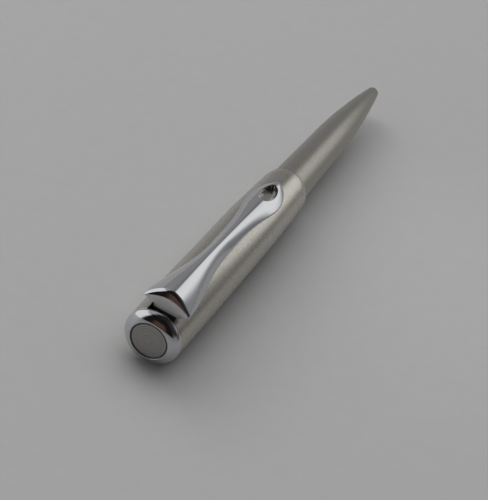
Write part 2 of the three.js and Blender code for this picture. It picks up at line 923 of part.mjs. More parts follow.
const brushedSteel = finish(0x9b968c, 0.38, 1);
const polishedChrome = finish(0xc9ccd2, 0.06, 1);
const satinGrey = finish(0x8f8e8c, 0.42, 0.8);
const darkEnamel = finish(0x2c2b2b, 0.5, 0);
const springSteel = finish(0x85868a, 0.3, 1);
const brass = finish(0xb08d4e, 0.32, 1);
const whiteNylon = finish(0xd9d7d0, 0.55, 0);
const blackNylon = finish(0x26272a, 0.55, 0);
const blackRubber = finish(0x1b1b1b, 0.85, 0);
const hardAlloy = finish(0x77797d, 0.25, 1);

// Assembly

const pieces = {
  rear_barrel: [rearBarrel, brushedSteel],
  seam_ring: [seamRing, polishedChrome],
  mouth_bush: [mouthBush, whiteNylon],
  rear_bush: [rearBush, whiteNylon],
  clip_bracket: [clipBracket, brass],
  end_dome: [endDome, polishedChrome],
  end_screw: [endScrew, springSteel],
  disc_ring: [discRing, darkEnamel],
  end_disc: [endDisc, satinGrey],
  clip: [clip, polishedChrome],
  clip_pin: [clipPin, springSteel],
  clip_spring: [clipSpring, springSteel],
  front_section: [frontSection, brushedSteel],
  inner_tube: [innerTube, brass],
  cam_housing: [camHousing, blackNylon],
  spring_ring: [() => snapRing(tubeRadius, springRingStart), springSteel],
  stop_ring: [() => snapRing(spigotRadius, stopRingStart), springSteel],
  bumper_ring: [bumperRing, blackRubber],
  return_spring: [returnSpring, springSteel],
  cam_plunger: [camPlunger, whiteNylon],
  cam_rotor: [camRotor, blackNylon],
  refill_tube: [refillTube, brass],
  refill_plug: [refillPlug, blackNylon],
  refill_collar: [refillCollar, brass],
  refill_nose: [refillNose, hardAlloy],
  refill_ball: [refillBall, hardAlloy],
  refill_spring: [refillSpring, springSteel],
};

const pen = new THREE.Group();
for (const [name, [shape, material]] of Object.entries(pieces)) {
  const mesh = new THREE.Mesh(shape(), material());
  mesh.name = name;
  pen.add(mesh);
}

// The pen lies with the flat under its barrel on z = 0 and its length centred on y = 0.
const axisHeight = bellyRadius - restDepth;
pen.position.set(0, -(tipY - domeDepth) / 2, axisHeight);

const root = new THREE.Group();
root.add(pen);

export default root;
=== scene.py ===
"""Push-action ballpoint pen with a sprung clip: smooth skins, wound springs, finishes and a studio."""
import json
import math

import bpy
import numpy as np
from bpy.props import FloatProperty, FloatVectorProperty, IntProperty, PointerProperty
from mathutils import Matrix, Vector

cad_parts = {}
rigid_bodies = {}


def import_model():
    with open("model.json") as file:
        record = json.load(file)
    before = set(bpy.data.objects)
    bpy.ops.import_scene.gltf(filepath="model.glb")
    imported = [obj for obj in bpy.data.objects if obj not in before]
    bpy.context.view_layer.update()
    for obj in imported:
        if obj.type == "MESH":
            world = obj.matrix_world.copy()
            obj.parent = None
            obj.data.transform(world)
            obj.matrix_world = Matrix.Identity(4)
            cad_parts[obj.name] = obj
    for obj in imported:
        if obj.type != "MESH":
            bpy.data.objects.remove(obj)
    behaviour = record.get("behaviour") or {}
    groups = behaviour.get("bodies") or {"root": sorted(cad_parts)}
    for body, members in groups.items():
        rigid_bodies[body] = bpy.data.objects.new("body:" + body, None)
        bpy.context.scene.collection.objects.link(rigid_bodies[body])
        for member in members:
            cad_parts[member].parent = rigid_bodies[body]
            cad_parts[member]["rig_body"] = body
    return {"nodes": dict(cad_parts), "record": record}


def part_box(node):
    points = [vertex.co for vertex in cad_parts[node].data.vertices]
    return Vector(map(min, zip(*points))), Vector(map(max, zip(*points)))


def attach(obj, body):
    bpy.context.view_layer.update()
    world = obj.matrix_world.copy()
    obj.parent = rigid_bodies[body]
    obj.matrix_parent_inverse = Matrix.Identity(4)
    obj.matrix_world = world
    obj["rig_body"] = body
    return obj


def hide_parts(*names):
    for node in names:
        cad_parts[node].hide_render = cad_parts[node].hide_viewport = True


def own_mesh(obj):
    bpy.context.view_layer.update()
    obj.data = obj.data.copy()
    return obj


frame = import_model()

bl_info = {
    "name": "Push-Action Ballpoint Pen",
    "version": (1, 0, 0),
    "blender": (4, 5, 0),
    "location": "3D View > Sidebar > Pen",
    "description": "Builds the skins, springs, finishes and studio of a push-action ballpoint pen",
    "category": "Add Mesh",
}

MM = 0.001

# In every formula y runs along the pen, 0 at the barrel's rear rim, and z stands up from the pen's axis.
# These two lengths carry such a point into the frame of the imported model.
RIM_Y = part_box("rear_barrel")[0].y
AXIS_Z = (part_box("front_section")[0].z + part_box("front_section")[1].z) / 2
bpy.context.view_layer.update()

# Points round a turned piece, columns across the barrel's slot, points round a wire and along one turn
AROUND = 192
SLOT_COLUMNS = 33
WIRE_SIDES = 12
TURN_STEPS = 48

# Stands in for a width or a distance of nothing where one is divided by
TINY = 1e-9

# The hole in the clip takes up a block of the lattice: this share of the clip's half width on both sides,
# and this share of the hole's half length
BLOCK_ACROSS = 0.58
BLOCK_ALONG = 0.78


# Sizes and colours

def length(name, millimetres, description):
    return FloatProperty(
        name=name, description=description, default=millimetres * MM,
        unit="LENGTH", subtype="DISTANCE", precision=5,
    )


def number(name, value, description, unit="NONE"):
    """A number from zero up: a share or degrees, or with a unit a power, a lens or metres."""
    return FloatProperty(name=name, description=description, default=value, min=0.0, unit=unit)


def turn_count(name, value, description):
    return IntProperty(name=name, description=description, default=value, min=3, max=30)


def colour(name, red, green, blue, description):
    return FloatVectorProperty(
        name=name, description=description, default=(red, green, blue, 1.0),
        size=4, min=0.0, max=1.0, subtype="COLOR",
    )


class PenBarrelSizes(bpy.types.PropertyGroup):
    """Rear barrel, the half that is pushed."""

    length: length("Length", 69.6, "From the rear rim to the mouth")
    rim_radius: length("Rim radius", 6.4, "Outer radius at the rear rim")
    bore: length("Bore", 5.5, "Inner radius behind the mouth")
    belly_swell: length("Belly swell", 0.2, "How much thicker the belly is than the rim")
    belly_start: length("Belly start", 18, "Where the barrel reaches its full thickness")
    belly_end: length("Belly end", 48, "Where the barrel starts to narrow")
    shoulder_narrowing: length("Narrowing", 0.55, "How much thinner the barrel is where its shoulder starts")
    shoulder_length: length("Shoulder length", 3.6, "Length of the rounded shoulder")
    shoulder_drop: length("Shoulder drop", 0.5, "How far the shoulder rounds inwards")
    mouth_bore: length("Mouth bore", 5.35, "Inner radius of the mouth")
    mouth_start: length("Mouth start", 53, "Where the mouth's bore starts")
    slot_half_width: length("Slot half width", 3.1, "Half the width of the slot for the clip")
    slot_length: length("Slot length", 9, "Length of the slot from the rim")
    edge_round: length("Edge rounding", 0.12, "Rounding of the rim's and the mouth's edges")


class PenFrontSizes(bpy.types.PropertyGroup):
    """Front section, the half that is held."""

    seam_y: length("Seam", 70.3, "Where the front section comes out of the barrel")
    seam_radius: length("Seam radius", 5.02, "Outer radius at the seam")
    grip_taper: length("Grip taper", 0.52, "How much thinner the grip is at the nose's start")
    nose_start: length("Nose start", 98, "Where the bullet-shaped nose starts")
    tip_y: length("Tip", 133.5, "Front end of the nose")
    tip_round: length("Tip rounding", 1.15, "Rounding of the nose's end")
    nose_end_radius: length("Nose end radius", 1.72, "Outer radius where that rounding starts")
    tip_bore: length("Tip bore", 1.1, "Radius of the bore that the point comes out of")
    step_y: length("Spigot step", 65.8, "Where the thin spigot inside the barrel ends")
    spigot_radius: length("Spigot radius", 4.5, "Outer radius of the spigot")
    spigot_start: length("Spigot start", 54, "Rear end of the spigot")
    spigot_bore: length("Spigot bore", 3.85, "Inner radius of the spigot and the grip")
    wide_bore_end: length("Wide bore end", 96, "Where that bore starts to narrow")
    spring_start: length("Spring bore start", 112, "Where the refill spring's bore starts")
    spring_bore: length("Spring bore", 2.3, "Radius of the refill spring's bore")
    spring_seat: length("Spring seat", 120.3, "Where the refill spring stands")
    refill_bore: length("Refill bore", 1.62, "Radius of the bore in front of that seat")
    refill_stop: length("Refill stop", 127, "Where the bore narrows for the point")


class PenEndSizes(bpy.types.PropertyGroup):
    """Dome, disc and ring at the rear end, and the ring at the seam."""

    dome_depth: length("Dome depth", 2.3, "How far the dome stands behind the rim")
    dome_radius: length("Dome radius", 6.45, "Outer radius of the dome")
    dome_flange: length("Dome flange", 0.35, "Straight part of the dome next to the rim")
    dome_land: length("Dome land", 0.12, "Width of the rounded edge round the recess")
    dome_start: number("Dome start", 57.0, "Angle of the dome's arc, in degrees, at the recess")
    recess_radius: length("Recess radius", 4.32, "Radius of the recess for the disc")
    recess_floor: length("Recess floor", 1.4, "How far behind the rim the recess ends")
    spigot_radius: length("Dome spigot", 5.45, "Radius of the spigot that plugs the barrel")
    disc_radius: length("Disc radius", 4.0, "Radius of the end disc")
    disc_face: length("Disc face", 2.22, "How far behind the rim the disc's face lies")
    disc_back: length("Disc back", 1.5, "How far behind the rim the disc's back lies")
    disc_flat: length("Disc flat", 3.2, "Radius of the flat middle of the disc")
    disc_bevel: length("Disc bevel", 0.11, "How far the disc's edge falls back")
    seam_ring_radius: length("Seam ring radius", 5.5, "Outer radius of the ring at the seam")
    seam_ring_bore: length("Seam ring bore", 5.12, "Inner radius of the ring at the seam")
    seam_ring_tail: length("Seam ring tail", 2.4, "How far the ring reaches into the barrel")


class PenClipSizes(bpy.types.PropertyGroup):
    """Clip with its flared lip, narrow waist, drop-shaped end and oval hole."""

    rear: length("Rear", 2, "Where the lip's edge is")
    end: length("End", 60.8, "Front end of the clip")
    waist: length("Waist", 29, "Where the clip is narrowest")
    lip_half_width: length("Lip half width", 5.4, "Half the width of the lip")
    waist_half_width: length("Waist half width", 2.33, "Half the width of the waist")
    drop_half_width: length("Drop half width", 3.95, "Half the width of the drop-shaped end")
    point_length: length("Point length", 8.5, "From the drop's widest place to the clip's end")
    lip_crest: length("Lip crest", 4.3, "Height of the lip's crest above the barrel")
    end_crest: length("End crest", 1.45, "Height of the end's crest above the barrel")
    lip_lift: length("Lip lift", 2.1, "How much higher the edges are at the lip")
    edge_lift: length("Edge lift", 0.45, "Height of the edges above the barrel")
    under_gap: length("Under gap", 0.12, "Least gap between the clip and the barrel")
    edge_inset: length("Edge inset", 0.2, "How much narrower the underside is")
    edge_thickness: length("Edge thickness", 0.4, "Thickness at the edges")
    crest_thickness: length("Crest thickness", 1.4, "Thickness under the crest")
    edge_round: length("Edge rounding", 0.16, "Rounding of the upper edges")
    ridge_round: number("Ridge rounding", 0.8, "Width of the rounded ridge as a share of the half width")
    lip_ridge_round: number("Lip ridge rounding", 0.45, "How much wider the ridge is at the lip")
    hole_y: length("Hole", 53.7, "Middle of the oval hole")
    hole_half_width: length("Hole half width", 1.85, "Half the width of the hole")
    hole_half_length: length("Hole half length", 4.15, "Half the length of the hole")
    wall_setback: length("Wall setback", 0.75, "How far the rear wall lies in front of the lip's edge")
    cove_height: length("Cove height", 1.95, "Height of the hollow under the lip at the crest")
    cove_slope: number("Cove slope", 0.42, "How fast that hollow runs back to the wall")
    plate_thickness: length("Plate thickness", 1.45, "Thickness of the upright plate behind the wall")
    tang_half_width: length("Tang half width", 2.9, "Half the width of the tang in the slot")
    tang_front: length("Tang front", 7.5, "Front of the tang")
    tang_foot: length("Tang foot", 1.65, "Lowest place of the tang above the pen's axis")
    wing_foot: length("Wing foot", 5.3, "Height at which the wall is as narrow as the tang")
    lip_round: length("Lip rounding", 0.75, "Rounding of the lip's rear edge")


class PenSpringSizes(bpy.types.PropertyGroup):
    """The three coil springs."""

    return_wire: length("Return wire", 0.35, "Wire radius of the return spring")
    return_radius: length("Return radius", 4.56, "Coil radius of the return spring")
    return_start: length("Return start", 26.45, "First turn of the return spring")
    return_end: length("Return end", 42.55, "Last turn of the return spring")
    return_turns: turn_count("Return turns", 7, "Free turns of the return spring")
    refill_wire: length("Refill wire", 0.2, "Wire radius of the refill spring")
    refill_coil: length("Refill coil", 1.9, "Coil radius of the refill spring")
    refill_start: length("Refill start", 104.3, "First turn of the refill spring")
    refill_end: length("Refill end", 120.0, "Last turn of the refill spring")
    refill_turns: turn_count("Refill turns", 9, "Free turns of the refill spring")
    clip_wire: length("Clip wire", 0.18, "Wire radius of the clip's torsion spring")
    clip_coil: length("Clip coil", 1.25, "Coil radius of the clip's torsion spring")
    clip_half_width: length("Clip coil half width", 0.97, "Half the width of the clip's torsion spring")
    clip_leg: length("Clip leg", 1.6, "Length of the torsion spring's legs")
    pivot_y: length("Pivot", 5.2, "Where the clip's pin is")
    pivot_z: length("Pivot height", 2.95, "Height of the clip's pin above the pen's axis")


class PenPointSizes(bpy.types.PropertyGroup):
    """Point of the refill."""

    shoulder: length("Shoulder", 121.6, "Where the point holder comes out of the tube")
    tail: length("Tail", 116.5, "Rear end of the point holder inside the tube")
    tail_radius: length("Tail radius", 1.2, "Radius of the point holder inside the tube")
    neck_radius: length("Neck radius", 1.0, "Radius of the point holder's straight part")
    cone_start: length("Cone start", 129.2, "Where the cone starts")
    ball_y: length("Ball", 131.95, "Middle of the ball")
    ball_radius: length("Ball radius", 0.35, "Radius of the ball")
    rim_width: length("Socket rim", 0.06, "Wall of the ball's socket")


class PenColours(bpy.types.PropertyGroup):
    """Colours of the finishes."""

    steel_light: colour("Steel, light", 0.585, 0.555, 0.5, "Lighter streaks of the brushed steel")
    steel_dark: colour("Steel, dark", 0.51, 0.483, 0.43, "Darker streaks of the brushed steel")
    chrome: colour("Chrome", 0.6, 0.605, 0.62, "Mirror chrome")
    trim: colour("Trim", 0.42, 0.41, 0.39, "Ring at the seam")
    cast_wall: colour("Cast wall", 0.78, 0.78, 0.79, "Unpolished wall under the clip's lip")
    # Painted shade: the colour of the wall's foot down in the slot, standing in for the slot's shadow
    painted_slot_shade: colour("Painted slot shade", 0.05, 0.047, 0.046, "Foot of that wall, down in the slot")
    disc: colour("Disc", 0.3, 0.287, 0.275, "Satin disc")
    disc_light: colour("Disc, light", 0.44, 0.42, 0.4, "Lighter rings of the satin disc")
    enamel: colour("Ring", 0.08, 0.075, 0.075, "Dark ring round the disc")
    brass: colour("Brass", 0.69, 0.53, 0.27, "Turned brass")
    brass_dark: colour("Brass, dark", 0.5, 0.36, 0.17, "Tarnish in the turned brass")
    wire: colour("Wire", 0.5, 0.5, 0.52, "Drawn spring wire")
    alloy: colour("Alloy", 0.47, 0.48, 0.5, "Turned point holder")
    black_nylon: colour("Black nylon", 0.02, 0.02, 0.022, "Moulded black nylon")
    white_nylon: colour("White nylon", 0.68, 0.66, 0.61, "Moulded white nylon")
    rubber: colour("Rubber", 0.014, 0.014, 0.014, "Moulded rubber")
    floor: colour("Floor", 0.43, 0.43, 0.43, "Plain pale floor")


class PenStudio(bpy.types.PropertyGroup):
    """Lights and camera."""

    key_power: number("Key power", 5.8, "Power of the large soft lamp at the left", "POWER")
    fill_power: number("Fill power", 13.0, "Power of the wide soft lamp overhead", "POWER")
    front_power: number("Front power", 1.7, "Power of the lamp near the camera", "POWER")
    panel_power: number("Panel power", 0.031, "Power of the panel that the metal shows", "POWER")
    lens: number("Lens", 97.94, "Focal length of the camera", "CAMERA")
    floor_radius: number("Floor radius", 3.0, "Size of the round floor", "LENGTH")


# Mesh making

def lattice_faces(rows, columns, closed_rows=False, closed_columns=False):
    """Quads of a lattice of rows and columns, turned so that rows x columns points outwards."""
    i, j = np.meshgrid(
        np.arange(rows if closed_rows else rows - 1),
        np.arange(columns if closed_columns else columns - 1),
        indexing="ij",
    )
    i_next = (i + 1) % rows
    j_next = (j + 1) % columns
    corners = [i * columns + j, i_next * columns + j, i_next * columns + j_next, i * columns + j_next]
    return np.stack([c.ravel() for c in corners], axis=1)


def weld(points, faces):
    """Joins points that lie within a tenth of a micrometre, and drops the corners this doubles."""
    reach = 1e-4 * MM
    keys = np.round(points / reach).astype(np.int64)
    _, first, merged = np.unique(keys, axis=0, return_index=True, return_inverse=True)
    faces = merged.reshape(-1)[faces]
    doubled = faces == np.roll(faces, -1, axis=1)
    quads = faces[doubled.sum(axis=1) == 0]
    once = doubled.sum(axis=1) == 1
    kept = ~doubled[once]
    triangles = faces[once][kept].reshape(-1, 3)
    return points[first], quads, triangles


def new_piece(name, points, faces, crease=35.0):
    """A smooth mesh from points in the pen's own frame. Edges sharper than the crease angle stay sharp."""
    points, quads, triangles = weld(points.reshape(-1, 3), faces)
    corners = np.concatenate([quads.ravel(), triangles.ravel()])
    starts = np.concatenate([np.arange(len(quads)) * 4, len(quads) * 4 + np.arange(len(triangles)) * 3])
    mesh = bpy.data.meshes.new(name)
    mesh.vertices.add(len(points))
    mesh.vertices.foreach_set("co", (points + np.array([0.0, RIM_Y, AXIS_Z])).ravel())
    mesh.loops.add(len(corners))
    mesh.loops.foreach_set("vertex_index", corners.astype(np.int32))
    mesh.polygons.add(len(starts))
    mesh.polygons.foreach_set("loop_start", starts.astype(np.int32))
    mesh.update(calc_edges=True)
    mesh.validate()
    mesh.polygons.foreach_set("use_smooth", np.ones(len(mesh.polygons), dtype=bool))
    mesh.set_sharp_from_angle(angle=math.radians(crease))
    piece = bpy.data.objects.new(name, mesh)
    bpy.context.scene.collection.objects.link(piece)
    return piece


def round_axis(radius, angle, y):
    """Points round the pen's axis: x = r sin a and z = r cos a."""
    return np.stack(np.broadcast_arrays(radius * np.sin(angle), y, radius * np.cos(angle)), axis=-1)


def turned(name, profile, count=AROUND, crease=35.0):
    """A closed profile of (radius, y) carried round the pen's axis.
    The profile goes towards the point on the outside and back along the bore or the axis."""
    radius, along = np.asarray(profile, dtype=float).T
    angle = np.linspace(0, 2 * np.pi, count, endpoint=False)
    points = round_axis(radius, angle[:, None], along)
    open_profile = radius[0] == 0 and radius[-1] == 0
    faces = lattice_faces(count, len(radius), closed_rows=True, closed_columns=not open_profile)
    return new_piece(name, points, faces, crease)


def arc(centre_radius, centre_y, reach, rise, first, last, steps=8):
    """Points (radius, y) of an elliptical arc: radius = centre + reach cos a, y = centre + rise sin a."""
    angle = np.radians(np.linspace(first, last, steps + 1))
    return np.stack([centre_radius + reach * np.cos(angle), centre_y + rise * np.sin(angle)], axis=1)


def joined(*parts):
    return np.concatenate([np.asarray(part, dtype=float).reshape(-1, 2) for part in parts])


def coil(name, wire_radius, path, axis=(0.0, 1.0, 0.0)):
    """A round wire carried along a path: each ring of points lies in the plane square to the path and
    is turned by the axis that the path winds round.
    The two last rings shrink to a point, which closes the ends."""
    step = np.gradient(path, axis=0)
    along = step / np.linalg.norm(step, axis=1, keepdims=True)
    side = np.cross(along, np.array(axis))
    side /= np.linalg.norm(side, axis=1, keepdims=True)
    up = np.cross(side, along)
    path, side, up = (np.concatenate([row[:1], row, row[-1:]]) for row in (path, side, up))
    radius = np.full(len(path), wire_radius)
    radius[[0, -1]] = 0.0
    angle = np.linspace(0, 2 * np.pi, WIRE_SIDES, endpoint=False)
    rings = (
        path[:, None]
        + radius[:, None, None] * np.cos(angle)[None, :, None] * side[:, None]
        + radius[:, None, None] * np.sin(angle)[None, :, None] * up[:, None]
    )
    faces = lattice_faces(len(path), WIRE_SIDES, closed_columns=True)
    return new_piece(name, rings, faces[:, ::-1], crease=60.0)


# Shapes of the barrel and the front section

def way(value, start, end):
    """How far a value is on its way from the start to the end, from 0 to 1 and held there."""
    return np.clip((value - start) / (end - start), 0, 1)


def barrel_radius(y, barrel):
    """Outer radius: a parabola from the rim up to the belly, level along it, then a power curve down."""
    narrowing_power = 1.25
    belly = barrel.rim_radius + barrel.belly_swell
    shoulder_start = barrel.length - barrel.shoulder_length
    back = way(y, barrel.belly_start, 0)
    on = way(y, barrel.belly_end, shoulder_start)
    return belly - barrel.belly_swell * back**2 - barrel.shoulder_narrowing * on**narrowing_power


def front_radius(y, front):
    """Outer radius: a straight taper, then a parabola that bends away from it towards the tip."""
    taper = front.grip_taper / (front.nose_start - front.seam_y)
    straight = front.seam_radius - taper * np.maximum(y - front.seam_y, 0)
    round_start = front.tip_y - front.tip_round
    whole = front.seam_radius - taper * (round_start - front.seam_y) - front.nose_end_radius
    on = way(y, front.nose_start, round_start)
    return straight - whole * on**2


def barrel_profile(barrel):
    """Closed profile of the barrel: rim, belly, rounded shoulder, mouth, mouth bore, step and bore."""
    shoulder_turn = 78
    bore_step = 0.15 * MM
    past_slot = 0.5 * MM
    edge = barrel.edge_round
    shoulder_start = barrel.length - barrel.shoulder_length
    along = np.linspace(edge, shoulder_start, 90)
    outer = np.stack([barrel_radius(along, barrel), along], axis=1)
    rim = arc(barrel_radius(0, barrel) - edge, edge, edge, edge, -90, 0, 5)[:-1]
    drop = barrel.shoulder_drop
    rise = barrel.shoulder_length - edge
    shoulder_radius = barrel_radius(shoulder_start, barrel)
    shoulder = arc(shoulder_radius - drop, shoulder_start, drop, rise, 0, shoulder_turn, 20)[1:]
    mouth = arc(shoulder[-1][0] - edge, barrel.length - edge, edge, edge, 20, 90, 5)
    bore = [
        [barrel.mouth_bore + edge, barrel.length],
        [barrel.mouth_bore, barrel.length - edge],
        [barrel.mouth_bore, barrel.mouth_start],
        [barrel.bore, barrel.mouth_start - bore_step],
        [barrel.bore, barrel.slot_length + past_slot],
        [barrel.bore, edge],
        [barrel.bore + edge, 0.0],
    ]
    return joined(rim, outer, shoulder, mouth, bore)


def make_barrel(barrel):
    """The barrel's profile carried round the axis, with the slot left open: inside the slot's width every
    point behind the slot's end is moved to it, so that the cut's end and side walls close the shell.
    The columns at the slot's sides keep one x at every radius, which makes the walls parallel."""
    held_share = 0.6
    radius, along = barrel_profile(barrel).T
    rim = barrel_radius(0, barrel)
    slot_angle = math.asin(barrel.slot_half_width / rim)
    sliver = 0.01 * MM / rim
    inside = np.linspace(-slot_angle + sliver, slot_angle - sliver, SLOT_COLUMNS)
    outside = np.linspace(slot_angle, 2 * np.pi - slot_angle, AROUND - SLOT_COLUMNS)
    angle = np.concatenate([inside, outside])
    in_slot = np.arange(len(angle)) < len(inside)
    from_edge = np.abs(np.abs(np.where(angle > np.pi, angle - 2 * np.pi, angle)) - slot_angle)
    hold = way(from_edge, held_share * slot_angle, 0) ** 2
    lean = np.arcsin(np.clip(barrel.slot_half_width / radius, -1, 1)) - slot_angle
    side = np.where(np.sin(angle) >= 0, 1.0, -1.0)
    turn = angle[:, None] + (hold * side)[:, None] * lean[None, :]
    behind = in_slot[:, None] & (along < barrel.slot_length)[None, :]
    y = np.where(behind, barrel.slot_length, along[None, :])
    on_outside = radius > (barrel.bore + rim) / 2
    swell = barrel_radius(barrel.slot_length, barrel) - barrel_radius(along, barrel)
    r = np.where(behind & on_outside[None, :], radius + swell, radius)
    faces = lattice_faces(len(angle), len(radius), closed_rows=True, closed_columns=True)
    return new_piece("barrel_shell", round_axis(r, turn, y), faces, crease=30.0)


def make_front(front):
    """Spigot, tapered grip and bullet nose with a rounded end, and the stepped bore back."""
    step = 0.08 * MM
    land = 0.06 * MM
    round_start = front.tip_y - front.tip_round
    grip = np.linspace(front.step_y + step, front.nose_start, 60)
    nose = np.linspace(front.nose_start, round_start, 90)[1:]
    outer_y = np.concatenate([grip, nose])
    outer = np.stack([front_radius(outer_y, front), outer_y], axis=1)
    reach = front_radius(nose[-1], front) - front.tip_bore - land
    tip = arc(front.tip_bore + land, round_start, reach, front.tip_round, 0, 90, 10)[1:]
    bore = [
        [front.tip_bore, front.tip_y - step],
        [front.tip_bore, front.refill_stop],
        [front.refill_bore, front.refill_stop],
        [front.refill_bore, front.spring_seat],
        [front.spring_bore, front.spring_seat],
        [front.spring_bore, front.spring_start],
        [front.spigot_bore, front.wide_bore_end],
        [front.spigot_bore, front.spigot_start],
    ]
    spigot = [
        [front.spigot_radius - step, front.spigot_start],
        [front.spigot_radius, front.spigot_start + step],
        [front.spigot_radius, front.step_y],
        [front.seam_radius - step, front.step_y],
    ]
    return turned("front_shell", joined(spigot, outer, tip, bore), crease=30.0)


# Shape of the clip

def ease(t):
    return t * t * (3 - 2 * t)


def clip_half_width(y, clip):
    """Half the width: an eased flare back to the lip, an eased swell to the drop, then a power curve."""
    flare_power, swell_power, point_power = 1.2, 1.8, 0.62
    widest = clip.end - clip.point_length
    back = way(y, clip.waist, clip.rear)
    on = way(y, clip.waist, widest)
    to_point = way(y, widest, clip.end)
    flare = (clip.lip_half_width - clip.waist_half_width) * ease(back**flare_power)
    swell = (clip.drop_half_width - clip.waist_half_width) * ease(on**swell_power)
    point = np.where(y > widest, (1 - to_point**2) ** point_power, 1.0)
    return (clip.waist_half_width + flare + swell) * point


def clip_edge_height(y, clip, barrel):
    """Height of the side edges: on a circle round the axis that grows towards the lip."""
    back = way(y, clip.waist, clip.rear)
    over = barrel_radius(y, barrel) + clip.edge_lift + clip.lip_lift * back**2
    return np.sqrt(over**2 - clip_half_width(y, clip) ** 2)


def clip_top(y, across, clip, barrel):
    """Height of the top: a hyperbola across the clip, whose crest falls with a power of the distance
    from the end and rounds off there like a superellipse."""
    crest_power, end_power = 2.2, 6
    widest = clip.end - clip.point_length
    back = way(y, clip.end, clip.rear)
    over = clip.end_crest + (clip.lip_crest - clip.end_crest) * back**crest_power
    near_end = way(y, widest, clip.end)
    edge = clip_edge_height(y, clip, barrel)
    crest = edge + (barrel_radius(y, barrel) + over - edge) * np.sqrt(1 - near_end**end_power)
    to_lip = way(y, clip.waist, clip.rear)
    ridge = clip.ridge_round + clip.lip_ridge_round * to_lip**2
    flank = np.sqrt(1 + ridge**2)
    rise = (flank - np.sqrt(across**2 + ridge**2)) / (flank - ridge)
    return edge + (crest - edge) * rise


def clustered(edges, counts):
    """Values that run through the given edges with the given number of even steps between them."""
    runs = [np.linspace(a, b, n, endpoint=False) for a, b, n in zip(edges[:-1], edges[1:], counts)]
    return np.concatenate([*runs, [edges[-1]]])


def nearest(values, value):
    return int(np.argmin(np.abs(values - value)))


def clip_columns():
    """Columns across the clip, from -1 to 1, and the two on the sides of the hole's block."""
    crest, side = 0.12, 0.93
    near = 0.05
    edges = [0.0, crest, BLOCK_ACROSS - near, BLOCK_ACROSS, BLOCK_ACROSS + near, side, 1.0]
    right = clustered(edges, [8, 14, 5, 5, 12, 4])
    across = np.concatenate([-right[:0:-1], right])
    return across, nearest(across, -BLOCK_ACROSS), nearest(across, BLOCK_ACROSS)


def clip_rows(clip):
    """Rows from the clip's end back to the lip, and the two at the ends of the hole's block."""
    near = 0.25 * MM
    first, second = clip.end - 0.02 * MM, clip.end - 0.5 * MM
    waist_front, waist_rear, lip_front = 44 * MM, 13 * MM, 4.4 * MM
    front_edge = clip.hole_y + BLOCK_ALONG * clip.hole_half_length
    rear_edge = clip.hole_y - BLOCK_ALONG * clip.hole_half_length
    edges = [
        first, second, front_edge + near, front_edge, front_edge - near, rear_edge + near, rear_edge,
        rear_edge - near, waist_front, waist_rear, lip_front, clip.rear + clip.lip_round,
    ]
    along = clustered(edges, [8, 22, 5, 4, 22, 4, 5, 12, 80, 40, 14])
    return along, nearest(along, front_edge), nearest(along, rear_edge)


def bent_round_hole(across, along, clip):
    """Moves the border of the hole's block onto the oval, each point straight out from the hole's middle.
    The points round the block move with it, by less the further out they lie."""
    fade_power = 1.5
    y = np.repeat(along[:, None], len(across), axis=1)
    x = across[None, :] * clip_half_width(y, clip)
    p = np.broadcast_to(across / BLOCK_ACROSS, y.shape)
    q = (y - clip.hole_y) / (BLOCK_ALONG * clip.hole_half_length)
    square = np.maximum(np.abs(p), np.abs(q))
    direction = np.arctan2(q, p)
    fade = way(square, 1 / BLOCK_ACROSS, 1) ** fade_power
    scale = np.where(square > 0, 1 / np.maximum(square, TINY), 0.0)
    border_y = clip.hole_y + (y - clip.hole_y) * scale
    border_x = p * scale * BLOCK_ACROSS * clip_half_width(border_y, clip)
    oval_x = clip.hole_half_width * np.cos(direction)
    oval_y = clip.hole_y + clip.hole_half_length * np.sin(direction)
    return x + fade * (oval_x - border_x), y + fade * (oval_y - border_y)


def clip_skins(x, y, share, clip, barrel):
    """The top, whose edges at the sides and the hole fall away as a quarter circle, and the underside,
    which lies a thickness under the top but clear of the barrel."""
    half = clip_half_width(y, clip)
    radius = np.minimum(clip.edge_round, half / 2)
    across_hole = x / clip.hole_half_width
    along_hole = (y - clip.hole_y) / clip.hole_half_length
    oval = np.sqrt(across_hole**2 + along_hole**2)
    slope = np.sqrt((across_hole / clip.hole_half_width) ** 2 + (along_hole / clip.hole_half_length) ** 2)
    slope = slope / np.maximum(oval, TINY)
    to_hole = np.maximum((oval - 1) / np.maximum(slope, TINY), 0)
    to_side = half - np.abs(x)
    inwards = np.clip(1 - np.minimum(to_side, to_hole) / radius, 0, 1)
    fallen = radius * (1 - np.sqrt(np.maximum(1 - inwards**2, 0)))
    top = np.stack([x, y, clip_top(y, share, clip, barrel) - fallen], axis=-1)

    inner = np.maximum(half - clip.edge_inset, half / 2)
    under_x = x * inner / np.maximum(half, TINY)
    inner_share = np.clip(under_x / np.maximum(inner, TINY), -1, 1)
    thickness = clip.edge_thickness + (clip.crest_thickness - clip.edge_thickness) * (1 - inner_share**2)
    clear = np.sqrt((barrel_radius(y, barrel) + clip.under_gap) ** 2 - under_x**2)
    under_z = np.maximum(clip_top(y, inner_share, clip, barrel) - thickness, clear)
    hole_side = to_hole < 100 * TINY
    under_x = np.where(hole_side, x, under_x)
    return top, np.stack([under_x, y, under_z], axis=-1)


